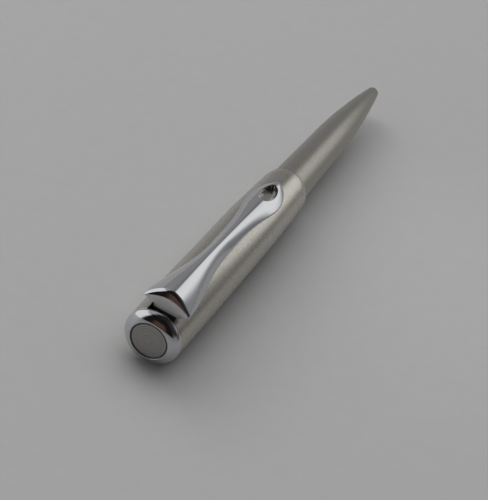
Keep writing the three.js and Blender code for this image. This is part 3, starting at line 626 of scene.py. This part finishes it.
def clip_rear(share, top_z, down, clip):
    """Rows from the lip's edge down: round the edge as a superellipse, in under the lip as a quarter of a
    sine wave, out again in a straight slope to the wall, and down it. Below the lip's corners the wall
    narrows in a straight line to the tang. The second value is how many rows lie above the wall."""
    edge_turn, edge_power = 70, 1.35
    cove_power, least_cove = 0.9, 0.12 * MM
    ceiling_share = 0.15
    wall_y = clip.rear + clip.wall_setback
    cove = clip.cove_height * (1 - share**2) ** cove_power + least_cove
    depth = clip.cove_slope * (1 - ceiling_share) * cove
    turn = np.radians(np.linspace(0, edge_turn, 11))[1:, None]
    lip_y = clip.rear + clip.lip_round * (1 - np.sin(turn) ** edge_power) + np.zeros_like(share)
    lip_z = top_z - clip.lip_round * (1 - np.cos(turn) ** edge_power)
    start_y = lip_y[-1]
    start_z = lip_z[-1]
    quarter = np.pi / 2 * np.linspace(0, 1, 9)[1:, None]
    ceiling_y = start_y + (wall_y + depth - start_y) * np.sin(quarter)
    ceiling_z = start_z - ceiling_share * cove * (1 - np.cos(quarter))
    outwards = np.linspace(0, 1, 15)[1:, None]
    slope_y = wall_y + depth * (1 - outwards)
    slope_z = start_z - cove * (ceiling_share + (1 - ceiling_share) * outwards)
    wall_z = slope_z[-1] + (clip.tang_foot - slope_z[-1]) * down
    y = np.concatenate([lip_y, ceiling_y, slope_y, np.full_like(wall_z, wall_y)])
    z = np.concatenate([lip_z, ceiling_z, slope_z, wall_z])

    above_wall = len(z) - len(wall_z)
    wing_top = float(z[above_wall - 1, 0])
    to_tang = way(z[:, :1], wing_top, clip.wing_foot)
    half = clip.lip_half_width + (clip.tang_half_width - clip.lip_half_width) * to_tang
    return np.stack([share * half, y, z], axis=-1), above_wall


def make_clip(clip, barrel):
    """Two lattices of the same rows and columns, the top with the rear wall and the underside with the
    front of the upright plate, joined along their sides and round the hole, where cells are left out."""
    across, first_column, last_column = clip_columns()
    along, first_row, last_row = clip_rows(clip)
    x, y = bent_round_hole(across, along, clip)
    share = np.clip(x / np.maximum(clip_half_width(y, clip), TINY), -1, 1)
    top, under = clip_skins(x, y, share, clip, barrel)
    upper_wall, middle_wall = 0.35, 0.6
    down = clustered([0.0, upper_wall, middle_wall, 1.0], [10, 6, 6])[1:, None]
    rear, above_wall = clip_rear(share[-1], top[-1, :, 2], down, clip)

    # Underside: behind the plate's front the rows stay at the corner, then they go down the plate.
    plate_front = clip.rear + clip.wall_setback + clip.plate_thickness
    at_plate = nearest(along, plate_front)
    under[:, :, 1] = np.maximum(y, plate_front)
    under[at_plate:] = under[at_plate]
    under[at_plate:, :, 1] = plate_front
    corner = under[-1]
    plate = rear.copy()
    plate[:above_wall] = corner
    plate[above_wall:, :, 2] = corner[:, 2] + (clip.tang_foot - corner[:, 2]) * down
    plate[:, :, 1] = plate_front

    upper = np.concatenate([top, rear])
    lower = np.concatenate([under, plate])
    rows, columns = upper.shape[:2]
    shift = rows * columns
    grid = np.arange(shift).reshape(rows, columns)
    quads = lattice_faces(rows, columns)
    row, column = np.divmod(quads[:, 0], columns)
    in_block = (row >= first_row) & (row < last_row) & (column >= first_column) & (column < last_column)
    skin = quads[~in_block]

    def strip(line):
        """Quads between a line of points on the upper lattice and the same line on the lower one."""
        return np.stack([line[:-1], line[1:], line[1:] + shift, line[:-1] + shift], axis=1)

    border = np.concatenate([
        grid[first_row, first_column:last_column],
        grid[first_row:last_row, last_column],
        grid[last_row, last_column:first_column:-1],
        grid[last_row:first_row:-1, first_column],
        grid[first_row, first_column:first_column + 1],
    ])
    faces = np.concatenate([
        skin,
        skin[:, ::-1] + shift,
        strip(grid[:, 0]),
        strip(grid[:, -1])[:, ::-1],
        strip(grid[-1])[:, ::-1],
        strip(grid[0]),
        strip(border)[:, ::-1],
    ])
    return new_piece("clip_body", np.stack([upper, lower]), faces, crease=40.0)


def make_tang(clip, barrel):
    """A rounded slab: x, y and z each follow a small power of the sine and cosine of two angles, as in
    a superellipsoid, and the upper half is stretched up into the clip."""
    sharpness = 0.22
    lean = np.radians(np.linspace(-90, 90, 33))[:, None]
    turn = np.radians(np.linspace(0, 360, 96, endpoint=False))[None, :]

    def powered(value):
        return np.sign(value) * np.abs(value) ** sharpness

    rear = clip.rear + clip.wall_setback + clip.plate_thickness / 2
    middle = (rear + clip.tang_front) / 2
    shrink = np.abs(np.cos(lean)) ** sharpness
    shrink[[0, -1]] = 0.0
    x = clip.tang_half_width * powered(np.sin(lean)) + 0 * turn
    y = middle + (clip.tang_front - middle) * shrink * powered(np.cos(turn))
    top = clip_top(y, x / clip_half_width(y, clip), clip, barrel) - clip.edge_thickness
    z = clip.tang_foot + (top - clip.tang_foot) * (1 + shrink * powered(np.sin(turn))) / 2
    faces = lattice_faces(x.shape[0], x.shape[1], closed_columns=True)
    return new_piece("clip_tang", np.stack([x, y, z], axis=-1), faces, crease=40.0)


# Finishes

FINISHES = {}

# Nearly every value of a noise lies between these two
NOISE_LOW = 0.3
NOISE_HIGH = 0.7


class Nodes:
    """Adds nodes to one node tree. An input takes a number, a colour or the output of another node."""

    def __init__(self, tree):
        self.nodes = tree.nodes
        self.links = tree.links

    def feed(self, node, socket, value):
        if isinstance(value, bpy.types.NodeSocket):
            self.links.new(value, node.inputs[socket])
        else:
            node.inputs[socket].default_value = value

    def add(self, kind, inputs, **settings):
        node = self.nodes.new("ShaderNode" + kind)
        for key, value in settings.items():
            setattr(node, key, value)
        for socket, value in inputs.items():
            self.feed(node, socket, value)
        return node

    def split(self, vector):
        return self.add("SeparateXYZ", {"Vector": vector}).outputs

    def math(self, operation, *values):
        return self.add("Math", dict(enumerate(values)), operation=operation).outputs[0]

    def span(self, value, first, last, low=0.0, high=1.0, kind="LINEAR"):
        """Carries one range onto another. Beyond its ends the result stays as it is there."""
        inputs = {"Value": value, "From Min": first, "From Max": last, "To Min": low, "To Max": high}
        return self.add("MapRange", inputs, interpolation_type=kind).outputs["Result"]

    def mix(self, factor, first, second, kind="RGBA"):
        inputs = {"Factor": factor, "A": first, "B": second}
        return self.add("Mix", inputs, data_type=kind).outputs["Result"]

    def ramp(self, factor, places, tones):
        """One tone up to the first place, the other from the second place on, and a blend between."""
        node = self.add("ValToRGB", {"Fac": factor})
        for element, place, tone in zip(node.color_ramp.elements, places, tones):
            element.position = place
            element.color = tone
        return node.outputs["Color"]


class Finish(Nodes):
    """A node material with one Principled shader. Every pattern reads Object coordinates."""

    def __init__(self, name, metallic, tone=None):
        self.material = bpy.data.materials.new(name + "_finish")
        self.material.use_nodes = True
        super().__init__(self.material.node_tree)
        self.shader = self.nodes["Principled BSDF"]
        self.feed(self.shader, "Metallic", metallic)
        if tone is not None:
            self.feed(self.shader, "Base Color", tone)
        self.coordinates = self.add("TexCoord", {}).outputs
        FINISHES[name] = self.material

    def placed(self, stretch, location=(0.0, 0.0, 0.0)):
        inputs = {"Vector": self.coordinates["Object"], "Location": location, "Scale": stretch}
        return self.add("Mapping", inputs).outputs["Vector"]

    def noise(self, across, along, detail=3.0):
        """Noise with so many grains to the metre across the pen and along it."""
        vector = self.placed((across, along, across))
        inputs = {"Vector": vector, "Scale": 1.0, "Detail": detail, "Roughness": 0.6}
        return self.add("TexNoise", inputs).outputs["Fac"]

    def turning(self, scale, along=True):
        """Noise of one number: the place along the pen, or the distance from its axis."""
        if along:
            place = self.split(self.coordinates["Object"])["Y"]
        else:
            flat = self.placed((1.0, 0.0, 1.0), (0.0, 0.0, -AXIS_Z))
            place = self.add("VectorMath", {0: flat}, operation="LENGTH").outputs["Value"]
        inputs = {"W": place, "Scale": scale, "Detail": 4.0}
        return self.add("TexNoise", inputs, noise_dimensions="1D").outputs["Fac"]

    def colours(self, pattern, dark, light, low=0.35, high=0.65):
        self.feed(self.shader, "Base Color", self.ramp(pattern, (low, high), (dark, light)))

    def surface(self, pattern, rough, depth, relief=None):
        """Roughness where the pattern is low and where it is high, and bumps of a depth in millimetres
        from a relief, or else from that pattern."""
        self.feed(self.shader, "Roughness", self.span(pattern, NOISE_LOW, NOISE_HIGH, *rough))
        height = pattern if relief is None else relief
        bump = self.add("Bump", {"Height": height, "Distance": depth * MM, "Strength": 1.0})
        self.feed(self.shader, "Normal", bump.outputs["Normal"])

    def matte_back(self, polished, cast, shadow):
        """The wall under the lip looks straight to the rear and is left as cast, with painted shade darkening
        its foot down in the slot.
        The lip's edge looks to the rear as well, so the wall starts past a place along the pen."""
        beside, straight_back = -0.985, -0.998
        past_lip = RIM_Y + 2.6 * MM
        slot_top, slot_deep = AXIS_Z + 4.95 * MM, AXIS_Z + 4.6 * MM
        cast_roughness = 0.55
        place = self.split(self.coordinates["Object"])
        backwards = self.span(self.split(self.coordinates["Normal"])["Y"], beside, straight_back)
        mask = self.math("MULTIPLY", backwards, self.math("GREATER_THAN", place["Y"], past_lip))
        # Painted shade: below the barrel's surface the wall fades to the near-black colour in place of the
        # slot's shadow
        wall = self.mix(self.span(place["Z"], slot_top, slot_deep), cast, shadow)
        self.feed(self.shader, "Base Color", self.mix(mask, polished, wall))
        self.feed(self.shader, "Metallic", self.span(mask, 0.0, 1.0, 1.0, 0.0))
        polish = self.shader.inputs["Roughness"].links[0].from_socket
        self.feed(self.shader, "Roughness", self.mix(mask, polish, cast_roughness, "FLOAT"))


def shaded(tone, share):
    return [part * share for part in tone[:3]] + [1.0]


def make_finishes(colours):
    """One material for each material slot of the record, and besides them the front section's hazier
    steel darkened as painted shade, the clip's chrome with its cast wall and painted slot shade, the seam
    ring's turned chrome and the floor."""
    # The front section's steel is the barrel's brushed steel made rougher and, as painted shade that dims its
    # highlight, darker by the last share
    for name, rough, share in (("brushed_steel", (0.24, 0.3), 1.0), ("front_steel_shaded", (0.36, 0.43), 0.86)):
        steel = Finish(name, 1.0)
        mottle = steel.noise(2000.0, 1300.0)
        steel.colours(mottle, shaded(colours.steel_dark, share), shaded(colours.steel_light, share))
        steel.surface(steel.noise(5200.0, 700.0), rough, depth=0.0008)

    for name in ("polished_chrome", "clip_chrome"):
        chrome = Finish(name, 1.0, colours.chrome)
        haze = chrome.noise(420.0, 200.0, detail=4.0)
        waves = chrome.noise(260.0, 90.0, detail=1.0)
        chrome.surface(haze, rough=(0.045, 0.085), depth=0.004, relief=waves)
        if name == "clip_chrome":
            chrome.matte_back(colours.chrome, colours.cast_wall, colours.painted_slot_shade)

    trim = Finish("trim_chrome", 1.0, colours.trim)
    trim.surface(trim.turning(6000.0), rough=(0.28, 0.4), depth=0.002)

    satin = Finish("satin_grey", 1.0)
    rings = satin.turning(4200.0, along=False)
    satin.colours(rings, colours.disc, colours.disc_light)
    satin.surface(satin.noise(1500.0, 1500.0), rough=(0.38, 0.5), depth=0.003, relief=rings)

    enamel = Finish("dark_enamel", 0.0, colours.enamel)
    specks = enamel.noise(5000.0, 5000.0)
    enamel.surface(enamel.noise(2200.0, 2200.0), rough=(0.28, 0.45), depth=0.002, relief=specks)

    wire = Finish("spring_steel", 1.0, colours.wire)
    wire.surface(wire.noise(3000.0, 3000.0, detail=5.0), rough=(0.2, 0.38), depth=0.002)

    for name, scale in (("brass", 5200.0), ("refill_brass", 2600.0)):
        brass = Finish(name, 1.0)
        tarnish = brass.noise(500.0, 300.0, detail=5.0)
        brass.colours(tarnish, colours.brass_dark, colours.brass, low=0.3, high=0.55)
        brass.surface(tarnish, rough=(0.38, 0.24), depth=0.004, relief=brass.turning(scale))

    alloy = Finish("hard_alloy", 1.0, colours.alloy)
    alloy.surface(alloy.turning(8000.0), rough=(0.18, 0.3), depth=0.002)

    for name in ("black_nylon", "white_nylon"):
        nylon = Finish(name, 0.0, getattr(colours, name))
        nylon.surface(nylon.noise(3800.0, 3800.0), rough=(0.42, 0.6), depth=0.006)

    rubber = Finish("black_rubber", 0.0, colours.rubber)
    rubber.surface(rubber.noise(4200.0, 4200.0, detail=4.0), rough=(0.75, 0.95), depth=0.008)

    paper = Finish("floor_paper", 0.0)
    paper.colours(paper.noise(260.0, 260.0, detail=4.0), shaded(colours.floor, 0.975), colours.floor)
    paper.feed(paper.shader, "Roughness", 0.42)


def material_of(name):
    """A finish by its name. All of them are made at the first call."""
    if not FINISHES:
        make_finishes(bpy.context.scene.pen_colours)
    return FINISHES[name]


def settle(piece, node, finish=None):
    """Gives a piece its finish and its body, and lets it stand for its CAD node."""
    slots = {part["node"]: part["material_slot"] for part in frame["record"]["subparts"]}
    piece.data.materials.append(material_of(finish or slots[node]))
    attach(piece, frame["nodes"][node]["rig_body"])
    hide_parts(node)
    return piece


# Operators

class PEN_OT_barrel(bpy.types.Operator):
    """Barrel shell with its slot"""

    bl_idname = "pen.barrel"
    bl_label = "Barrel"

    def execute(self, context):
        settle(make_barrel(context.scene.pen_barrel), "rear_barrel")
        return {"FINISHED"}


class PEN_OT_front(bpy.types.Operator):
    """Front section with its spigot, grip and nose"""

    bl_idname = "pen.front"
    bl_label = "Front section"

    def execute(self, context):
        settle(make_front(context.scene.pen_front), "front_section", "front_steel_shaded")
        return {"FINISHED"}


class PEN_OT_seam_ring(bpy.types.Operator):
    """Bright ring at the barrel's mouth"""

    bl_idname = "pen.seam_ring"
    bl_label = "Seam ring"

    def execute(self, context):
        end = context.scene.pen_end
        barrel = context.scene.pen_barrel
        seam_y = context.scene.pen_front.seam_y
        outer = end.seam_ring_radius
        bore = end.seam_ring_bore
        play = 0.05 * MM
        bevel = 0.15 * MM
        inner_round = 0.09 * MM
        face_inset = 0.04 * MM
        tail = barrel.length - end.seam_ring_tail
        tail_radius = barrel.mouth_bore - play
        face = barrel.length + play
        profile = joined(
            [[bore, tail], [tail_radius, tail], [tail_radius, face], [outer - face_inset, face]],
            arc(outer - bevel, seam_y - bevel, bevel, bevel, 0, 90, 8),
            arc(bore + inner_round, seam_y - inner_round, inner_round, inner_round, 90, 180, 6),
        )
        settle(turned("seam_trim", profile), "seam_ring", "trim_chrome")
        return {"FINISHED"}


class PEN_OT_end(bpy.types.Operator):
    """Chrome dome, dark ring and bare satin disc"""

    bl_idname = "pen.end"
    bl_label = "Rear end"

    def execute(self, context):
        end = context.scene.pen_end
        soft = 0.07 * MM
        play = 0.05 * MM
        plug_end = 0.8 * MM
        screw_hole = 1.0 * MM
        head_hole = 2.05 * MM
        head_seat = -0.6 * MM
        first = math.radians(end.dome_start)
        reach = (end.dome_radius - end.recess_radius - end.dome_land) / (1 - math.cos(first))
        rise = (end.dome_depth - end.dome_flange) / math.sin(first)
        profile = joined(
            arc(end.recess_radius + soft, -end.dome_depth + soft, soft, soft, 180, 270, 5),
            arc(end.dome_radius - reach, -end.dome_flange, reach, rise, -end.dome_start, 0, 32),
            arc(end.dome_radius - soft, -play - soft, soft, soft, 0, 90, 5),
            [[end.spigot_radius, -play], [end.spigot_radius, plug_end], [screw_hole, plug_end]],
            [[screw_hole, head_seat], [head_hole, head_seat], [head_hole, -end.recess_floor]],
            [[end.recess_radius, -end.recess_floor]],
        )
        settle(turned("dome_cap", profile, crease=40.0), "end_dome")

        ring_rise = 0.06 * MM
        edge_y = -end.disc_face + end.disc_bevel
        disc = joined(
            [[0.0, -end.disc_face], [end.disc_flat / 2, -end.disc_face]],
            arc(end.disc_flat, edge_y, end.disc_radius - end.disc_flat, end.disc_bevel, -90, -20, 10),
            [[end.disc_radius, edge_y + ring_rise], [end.disc_radius, -end.disc_back], [0.0, -end.disc_back]],
        )
        settle(turned("disc_plate", disc), "end_disc")

        inner = end.disc_radius + play
        outer = end.recess_radius - 0.02 * MM
        trim = joined(
            arc((inner + outer) / 2, edge_y + ring_rise, (outer - inner) / 2, ring_rise, 180, 360, 12),
            [[outer, -end.disc_back], [inner, -end.disc_back]],
        )
        settle(turned("disc_trim", trim), "disc_ring")
        return {"FINISHED"}


class PEN_OT_clip(bpy.types.Operator):
    """Polished clip with its lip, upright plate, drop-shaped end and oval hole"""

    bl_idname = "pen.clip"
    bl_label = "Clip"

    def execute(self, context):
        settle(make_clip(context.scene.pen_clip, context.scene.pen_barrel), "clip", "clip_chrome")
        return {"FINISHED"}


class PEN_OT_tang(bpy.types.Operator):
    """Tang under the clip, which goes through the barrel's slot"""

    bl_idname = "pen.tang"
    bl_label = "Tang"

    def execute(self, context):
        settle(make_tang(context.scene.pen_clip, context.scene.pen_barrel), "clip", "polished_chrome")
        return {"FINISHED"}


class PEN_OT_springs(bpy.types.Operator):
    """Return spring, refill spring and the clip's torsion spring"""

    bl_idname = "pen.springs"
    bl_label = "Springs"

    def helix(self, radius, start, end, turns):
        """x = r sin a and z = r cos a. Through the first and the last half turn y stays level, so that
        the spring's ends lie flat, and between them it grows evenly with the angle."""
        angle = np.linspace(0, 2 * np.pi * (turns + 2), TURN_STEPS * (turns + 2) + 1)
        share = way(angle, np.pi, np.pi * (2 * turns + 3))
        return round_axis(radius, angle, start + (end - start) * share)

    def torsion(self, size):
        """A leg, then turns round the clip's pin with x growing by an even step, then the other leg."""
        turns = 2.5
        steps = int(TURN_STEPS * turns)
        angle = np.radians(90 - np.linspace(0, 360 * turns, steps + 1))
        x = np.linspace(-size.clip_half_width, size.clip_half_width, steps + 1)
        y = size.pivot_y + size.clip_coil * np.cos(angle)
        z = size.pivot_z + size.clip_coil * np.sin(angle)
        winding = np.stack([x, y, z], axis=1)
        back = np.linspace(size.clip_leg, 0.1 * MM, 12)[:, None] * np.array([[0.0, -1.0, 0.0]])
        return np.concatenate([winding[:1] + back, winding, winding[-1:] + back[::-1]])

    def execute(self, context):
        size = context.scene.pen_springs
        spring = coil("clip_coil", size.clip_wire, self.torsion(size), axis=(1.0, 0.0, 0.0))
        settle(spring, "clip_spring")

        path = self.helix(size.return_radius, size.return_start, size.return_end, size.return_turns)
        spring = settle(coil("return_coil", size.return_wire, path), "return_spring")
        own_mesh(spring)

        path = self.helix(size.refill_coil, size.refill_start, size.refill_end, size.refill_turns)
        spring = settle(coil("refill_coil", size.refill_wire, path), "refill_spring")
        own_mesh(spring)
        return {"FINISHED"}


class PEN_OT_point(bpy.types.Operator):
    """Point holder and ball of the refill"""

    bl_idname = "pen.point"
    bl_label = "Refill point"

    def execute(self, context):
        point = context.scene.pen_point
        soft = 0.12 * MM
        gap = 0.03 * MM
        ledge = 0.05 * MM
        half_rim = point.rim_width / 2
        socket = point.ball_radius + gap
        rim = point.ball_y - ledge
        seat = point.ball_y - point.ball_radius - ledge
        profile = joined(
            [[0.0, point.tail], [point.tail_radius - soft, point.tail]],
            [[point.tail_radius, point.tail + soft], [point.tail_radius, point.shoulder]],
            [[point.neck_radius, point.shoulder + soft], [point.neck_radius, point.cone_start]],
            [[socket + point.rim_width, rim - ledge]],
            arc(socket + half_rim, rim - gap, half_rim, gap, 0, 180, 6),
            [[socket, seat], [0.0, seat]],
        )
        settle(turned("point_holder", profile, count=96), "refill_nose")
        ball = arc(0.0, point.ball_y, point.ball_radius, point.ball_radius, -90, 90, 32)
        ball[[0, -1], 0] = 0.0
        settle(turned("point_ball", ball, count=64), "refill_ball")
        return {"FINISHED"}


class PEN_OT_inside(bpy.types.Operator):
    """Finishes of the CAD pieces that stay: tube, housing, cams, bushes, rings, bracket and screw"""

    bl_idname = "pen.inside"
    bl_label = "Inner pieces"

    def execute(self, context):
        for part in frame["record"]["subparts"]:
            node = frame["nodes"][part["node"]]
            node.data.materials.clear()
            node.data.materials.append(material_of(part["material_slot"]))
        return {"FINISHED"}


class PEN_OT_stage(bpy.types.Operator):
    """Floor, lamps, world and camera"""

    bl_idname = "pen.stage"
    bl_label = "Stage"

    def lamp(self, name, power, size, place, aim, tint):
        light = bpy.data.lights.new(name, "AREA")
        light.shape = "RECTANGLE"
        light.size, light.size_y = size
        light.energy = power
        light.color = tint
        lamp = bpy.data.objects.new(name, light)
        bpy.context.scene.collection.objects.link(lamp)
        lamp.location = place
        lamp.rotation_euler = (Vector(aim) - Vector(place)).to_track_quat("-Z", "Y").to_euler()
        lamp.visible_camera = False
        return lamp

    def lamps(self, studio):
        """Three soft lamps that light the pen but don't show in its metal."""
        for name, power, size, place, tint in (
            ("key", studio.key_power, 0.8, (-0.8, 0.45, 0.8), (1.0, 0.995, 0.985)),
            ("fill", studio.fill_power, 1.6, (0.1, 0.6, 1.45), (1.0, 1.0, 1.0)),
            ("front", studio.front_power, 0.6, (-0.35, -1.1, 0.5), (1.0, 1.0, 1.0)),
        ):
            lamp = self.lamp(name, power, (size, size), place, (0.0, 0.0, 0.0), tint)
            lamp.visible_glossy = False

    def panel(self, studio):
        """A white panel in front of the point, which only the metal shows. Its light is full up to half
        way from its middle to each side and falls smoothly to nothing there."""
        size = (104.0 * MM, 130.0 * MM)
        place = Vector((46.0, 160.0, 78.0)) * MM + Vector((0.0, RIM_Y, AXIS_Z))
        aim = place - Vector((0.0, 1.0, 0.0))
        panel = self.lamp("panel", studio.panel_power, size, place, aim, (0.98, 1.0, 0.98))
        panel.visible_diffuse = False
        panel.data.use_nodes = True
        nodes = Nodes(panel.data.node_tree)
        across = nodes.split(nodes.add("NewGeometry", {}).outputs["Parametric"])
        fades = []
        for side in ("X", "Y"):
            from_middle = nodes.math("MULTIPLY_ADD", across[side], 2.0, -1.0)
            squared = nodes.math("MULTIPLY", from_middle, from_middle)
            fades.append(nodes.span(squared, 1.0, 0.5**2, kind="SMOOTHSTEP"))
        nodes.feed(nodes.nodes["Emission"], "Strength", nodes.math("MULTIPLY", *fades))

    def floor(self, scene):
        """A flat round sheet under the belly: rings whose radius grows with the square of their count."""
        barrel = scene.pen_barrel
        count = 96
        radius = scene.pen_studio.floor_radius * np.linspace(0, 1, 24) ** 2
        angle = np.linspace(0, 2 * np.pi, count, endpoint=False)
        x = np.outer(radius, np.sin(angle))
        y = np.outer(radius, np.cos(angle)) - RIM_Y
        z = np.full_like(x, -barrel.rim_radius - barrel.belly_swell)
        faces = lattice_faces(len(radius), count, closed_columns=True)[:, ::-1]
        sheet = new_piece("floor_sheet", np.stack([x, y, z], axis=-1), faces)
        sheet.data.materials.append(material_of("floor_paper"))

    def patch(self, nodes, angles, middle, half, soft):
        """A soft-edged rectangle in the sky: 1 inside and 0 outside. Its middle and its half size are each
        an azimuth and an elevation in degrees."""
        sides = []
        for angle, centre, reach in zip(angles, middle, half):
            off = nodes.math("ABSOLUTE", nodes.math("SUBTRACT", angle, math.radians(centre)))
            outer = math.radians(reach + soft)
            inner = math.radians(reach - soft)
            sides.append(nodes.span(off, outer, inner, kind="SMOOTHSTEP"))
        return nodes.math("MULTIPLY", *sides)

    def world(self, scene):
        """A plain room, grey below and dark above, with soft areas laid over it one after another. Azimuth
        0 is the way that the pen points and 90 its right. What lies behind the camera is laid twice,
        because the azimuth jumps there from 180 to -180."""
        world = bpy.data.worlds.new("studio_room")
        world.use_nodes = True
        scene.world = world
        nodes = Nodes(world.node_tree)
        direction = nodes.split(nodes.add("TexCoord", {}).outputs["Generated"])
        azimuth = nodes.math("ARCTAN2", direction["X"], direction["Y"])
        elevation = nodes.math("ARCSINE", direction["Z"])
        walls = (0.29, 0.29, 0.3, 1.0)
        ceiling = (0.02, 0.02, 0.022, 1.0)
        sky = nodes.ramp(direction["Z"], (0.45, 0.78), (walls, ceiling))
        dark_right = (0.035, 0.034, 0.035)
        dark_behind = (0.012, 0.01, 0.01)
        warm_behind = (0.1, 0.056, 0.046)
        dim_window = (0.42, 0.42, 0.42)
        bright_window = (0.95, 0.96, 0.97)
        low_right = (0.11, 0.105, 0.1)
        for tone, middle, half, soft in (
            (dark_right, (110.0, 38.0), (32.0, 30.0), 9.0),
            (dark_behind, (178.0, 30.0), (46.0, 36.0), 7.0),
            (dark_behind, (-182.0, 30.0), (46.0, 36.0), 7.0),
            (warm_behind, (180.0, 12.0), (15.0, 12.0), 7.0),
            (warm_behind, (-180.0, 12.0), (15.0, 12.0), 7.0),
            (dim_window, (-66.0, 55.0), (58.0, 14.0), 10.0),
            (bright_window, (-98.0, 15.0), (37.0, 27.0), 7.0),
            (low_right, (70.0, 2.0), (30.0, 12.0), 8.0),
        ):
            area = self.patch(nodes, (azimuth, elevation), middle, half, soft)
            sky = nodes.mix(area, sky, (*tone, 1.0))
        nodes.feed(nodes.nodes["Background"], "Color", sky)

    def camera(self, scene):
        """Camera fitted to the rim, the seam and the outline of the pen."""
        data = bpy.data.cameras.new("camera")
        data.lens = scene.pen_studio.lens
        data.sensor_fit = "AUTO"
        data.sensor_width = 36.0
        data.clip_start = 0.01
        data.clip_end = 50.0
        camera = bpy.data.objects.new("camera", data)
        scene.collection.objects.link(camera)
        place = Vector((59.897, -203.006, 183.645)) * MM + Vector((0.0, RIM_Y, AXIS_Z))
        right = Vector((0.86984, 0.41150, 0.27211)).normalized()
        forward = Vector((-0.18555, 0.78397, -0.59242)).normalized()
        up = right.cross(forward).normalized()
        turn = Matrix((right, up, -forward)).transposed()
        camera.matrix_world = Matrix.Translation(place) @ turn.to_4x4()
        scene.camera = camera

    def execute(self, context):
        scene = context.scene
        self.floor(scene)
        self.world(scene)
        self.lamps(scene.pen_studio)
        self.panel(scene.pen_studio)
        self.camera(scene)
        scene.view_settings.view_transform = "Standard"
        return {"FINISHED"}


class PEN_PT_parts(bpy.types.Panel):
    """Sizes, colours and makers of the pen's pieces"""

    bl_idname = "PEN_PT_parts"
    bl_label = "Ballpoint pen"
    bl_space_type = "VIEW_3D"
    bl_region_type = "UI"
    bl_category = "Pen"

    def draw(self, context):
        for maker in MAKERS:
            self.layout.operator(maker.bl_idname)
        for name in GROUPS:
            box = self.layout.box()
            group = getattr(context.scene, name)
            box.label(text=name.replace("_", " "))
            for item in group.bl_rna.properties:
                if item.identifier not in ("rna_type", "name"):
                    box.prop(group, item.identifier)


GROUPS = {
    "pen_barrel": PenBarrelSizes,
    "pen_front": PenFrontSizes,
    "pen_end": PenEndSizes,
    "pen_clip": PenClipSizes,
    "pen_springs": PenSpringSizes,
    "pen_point": PenPointSizes,
    "pen_colours": PenColours,
    "pen_studio": PenStudio,
}

MAKERS = (
    PEN_OT_inside,
    PEN_OT_barrel,
    PEN_OT_front,
    PEN_OT_seam_ring,
    PEN_OT_end,
    PEN_OT_clip,
    PEN_OT_tang,
    PEN_OT_springs,
    PEN_OT_point,
    PEN_OT_stage,
)


def register():
    for group in GROUPS.values():
        bpy.utils.register_class(group)
    for name, group in GROUPS.items():
        setattr(bpy.types.Scene, name, PointerProperty(type=group))
    for maker in (*MAKERS, PEN_PT_parts):
        bpy.utils.register_class(maker)


def unregister():
    for maker in reversed((*MAKERS, PEN_PT_parts)):
        bpy.utils.unregister_class(maker)
    for name, group in GROUPS.items():
        delattr(bpy.types.Scene, name)
        bpy.utils.unregister_class(group)


def main():
    register()
    bpy.ops.pen.inside()
    bpy.ops.pen.barrel()
    bpy.ops.pen.front()
    bpy.ops.pen.seam_ring()
    bpy.ops.pen.end()
    bpy.ops.pen.clip()
    bpy.ops.pen.tang()
    bpy.ops.pen.springs()
    bpy.ops.pen.point()
    bpy.ops.pen.stage()


if __name__ == "__main__":
    main()
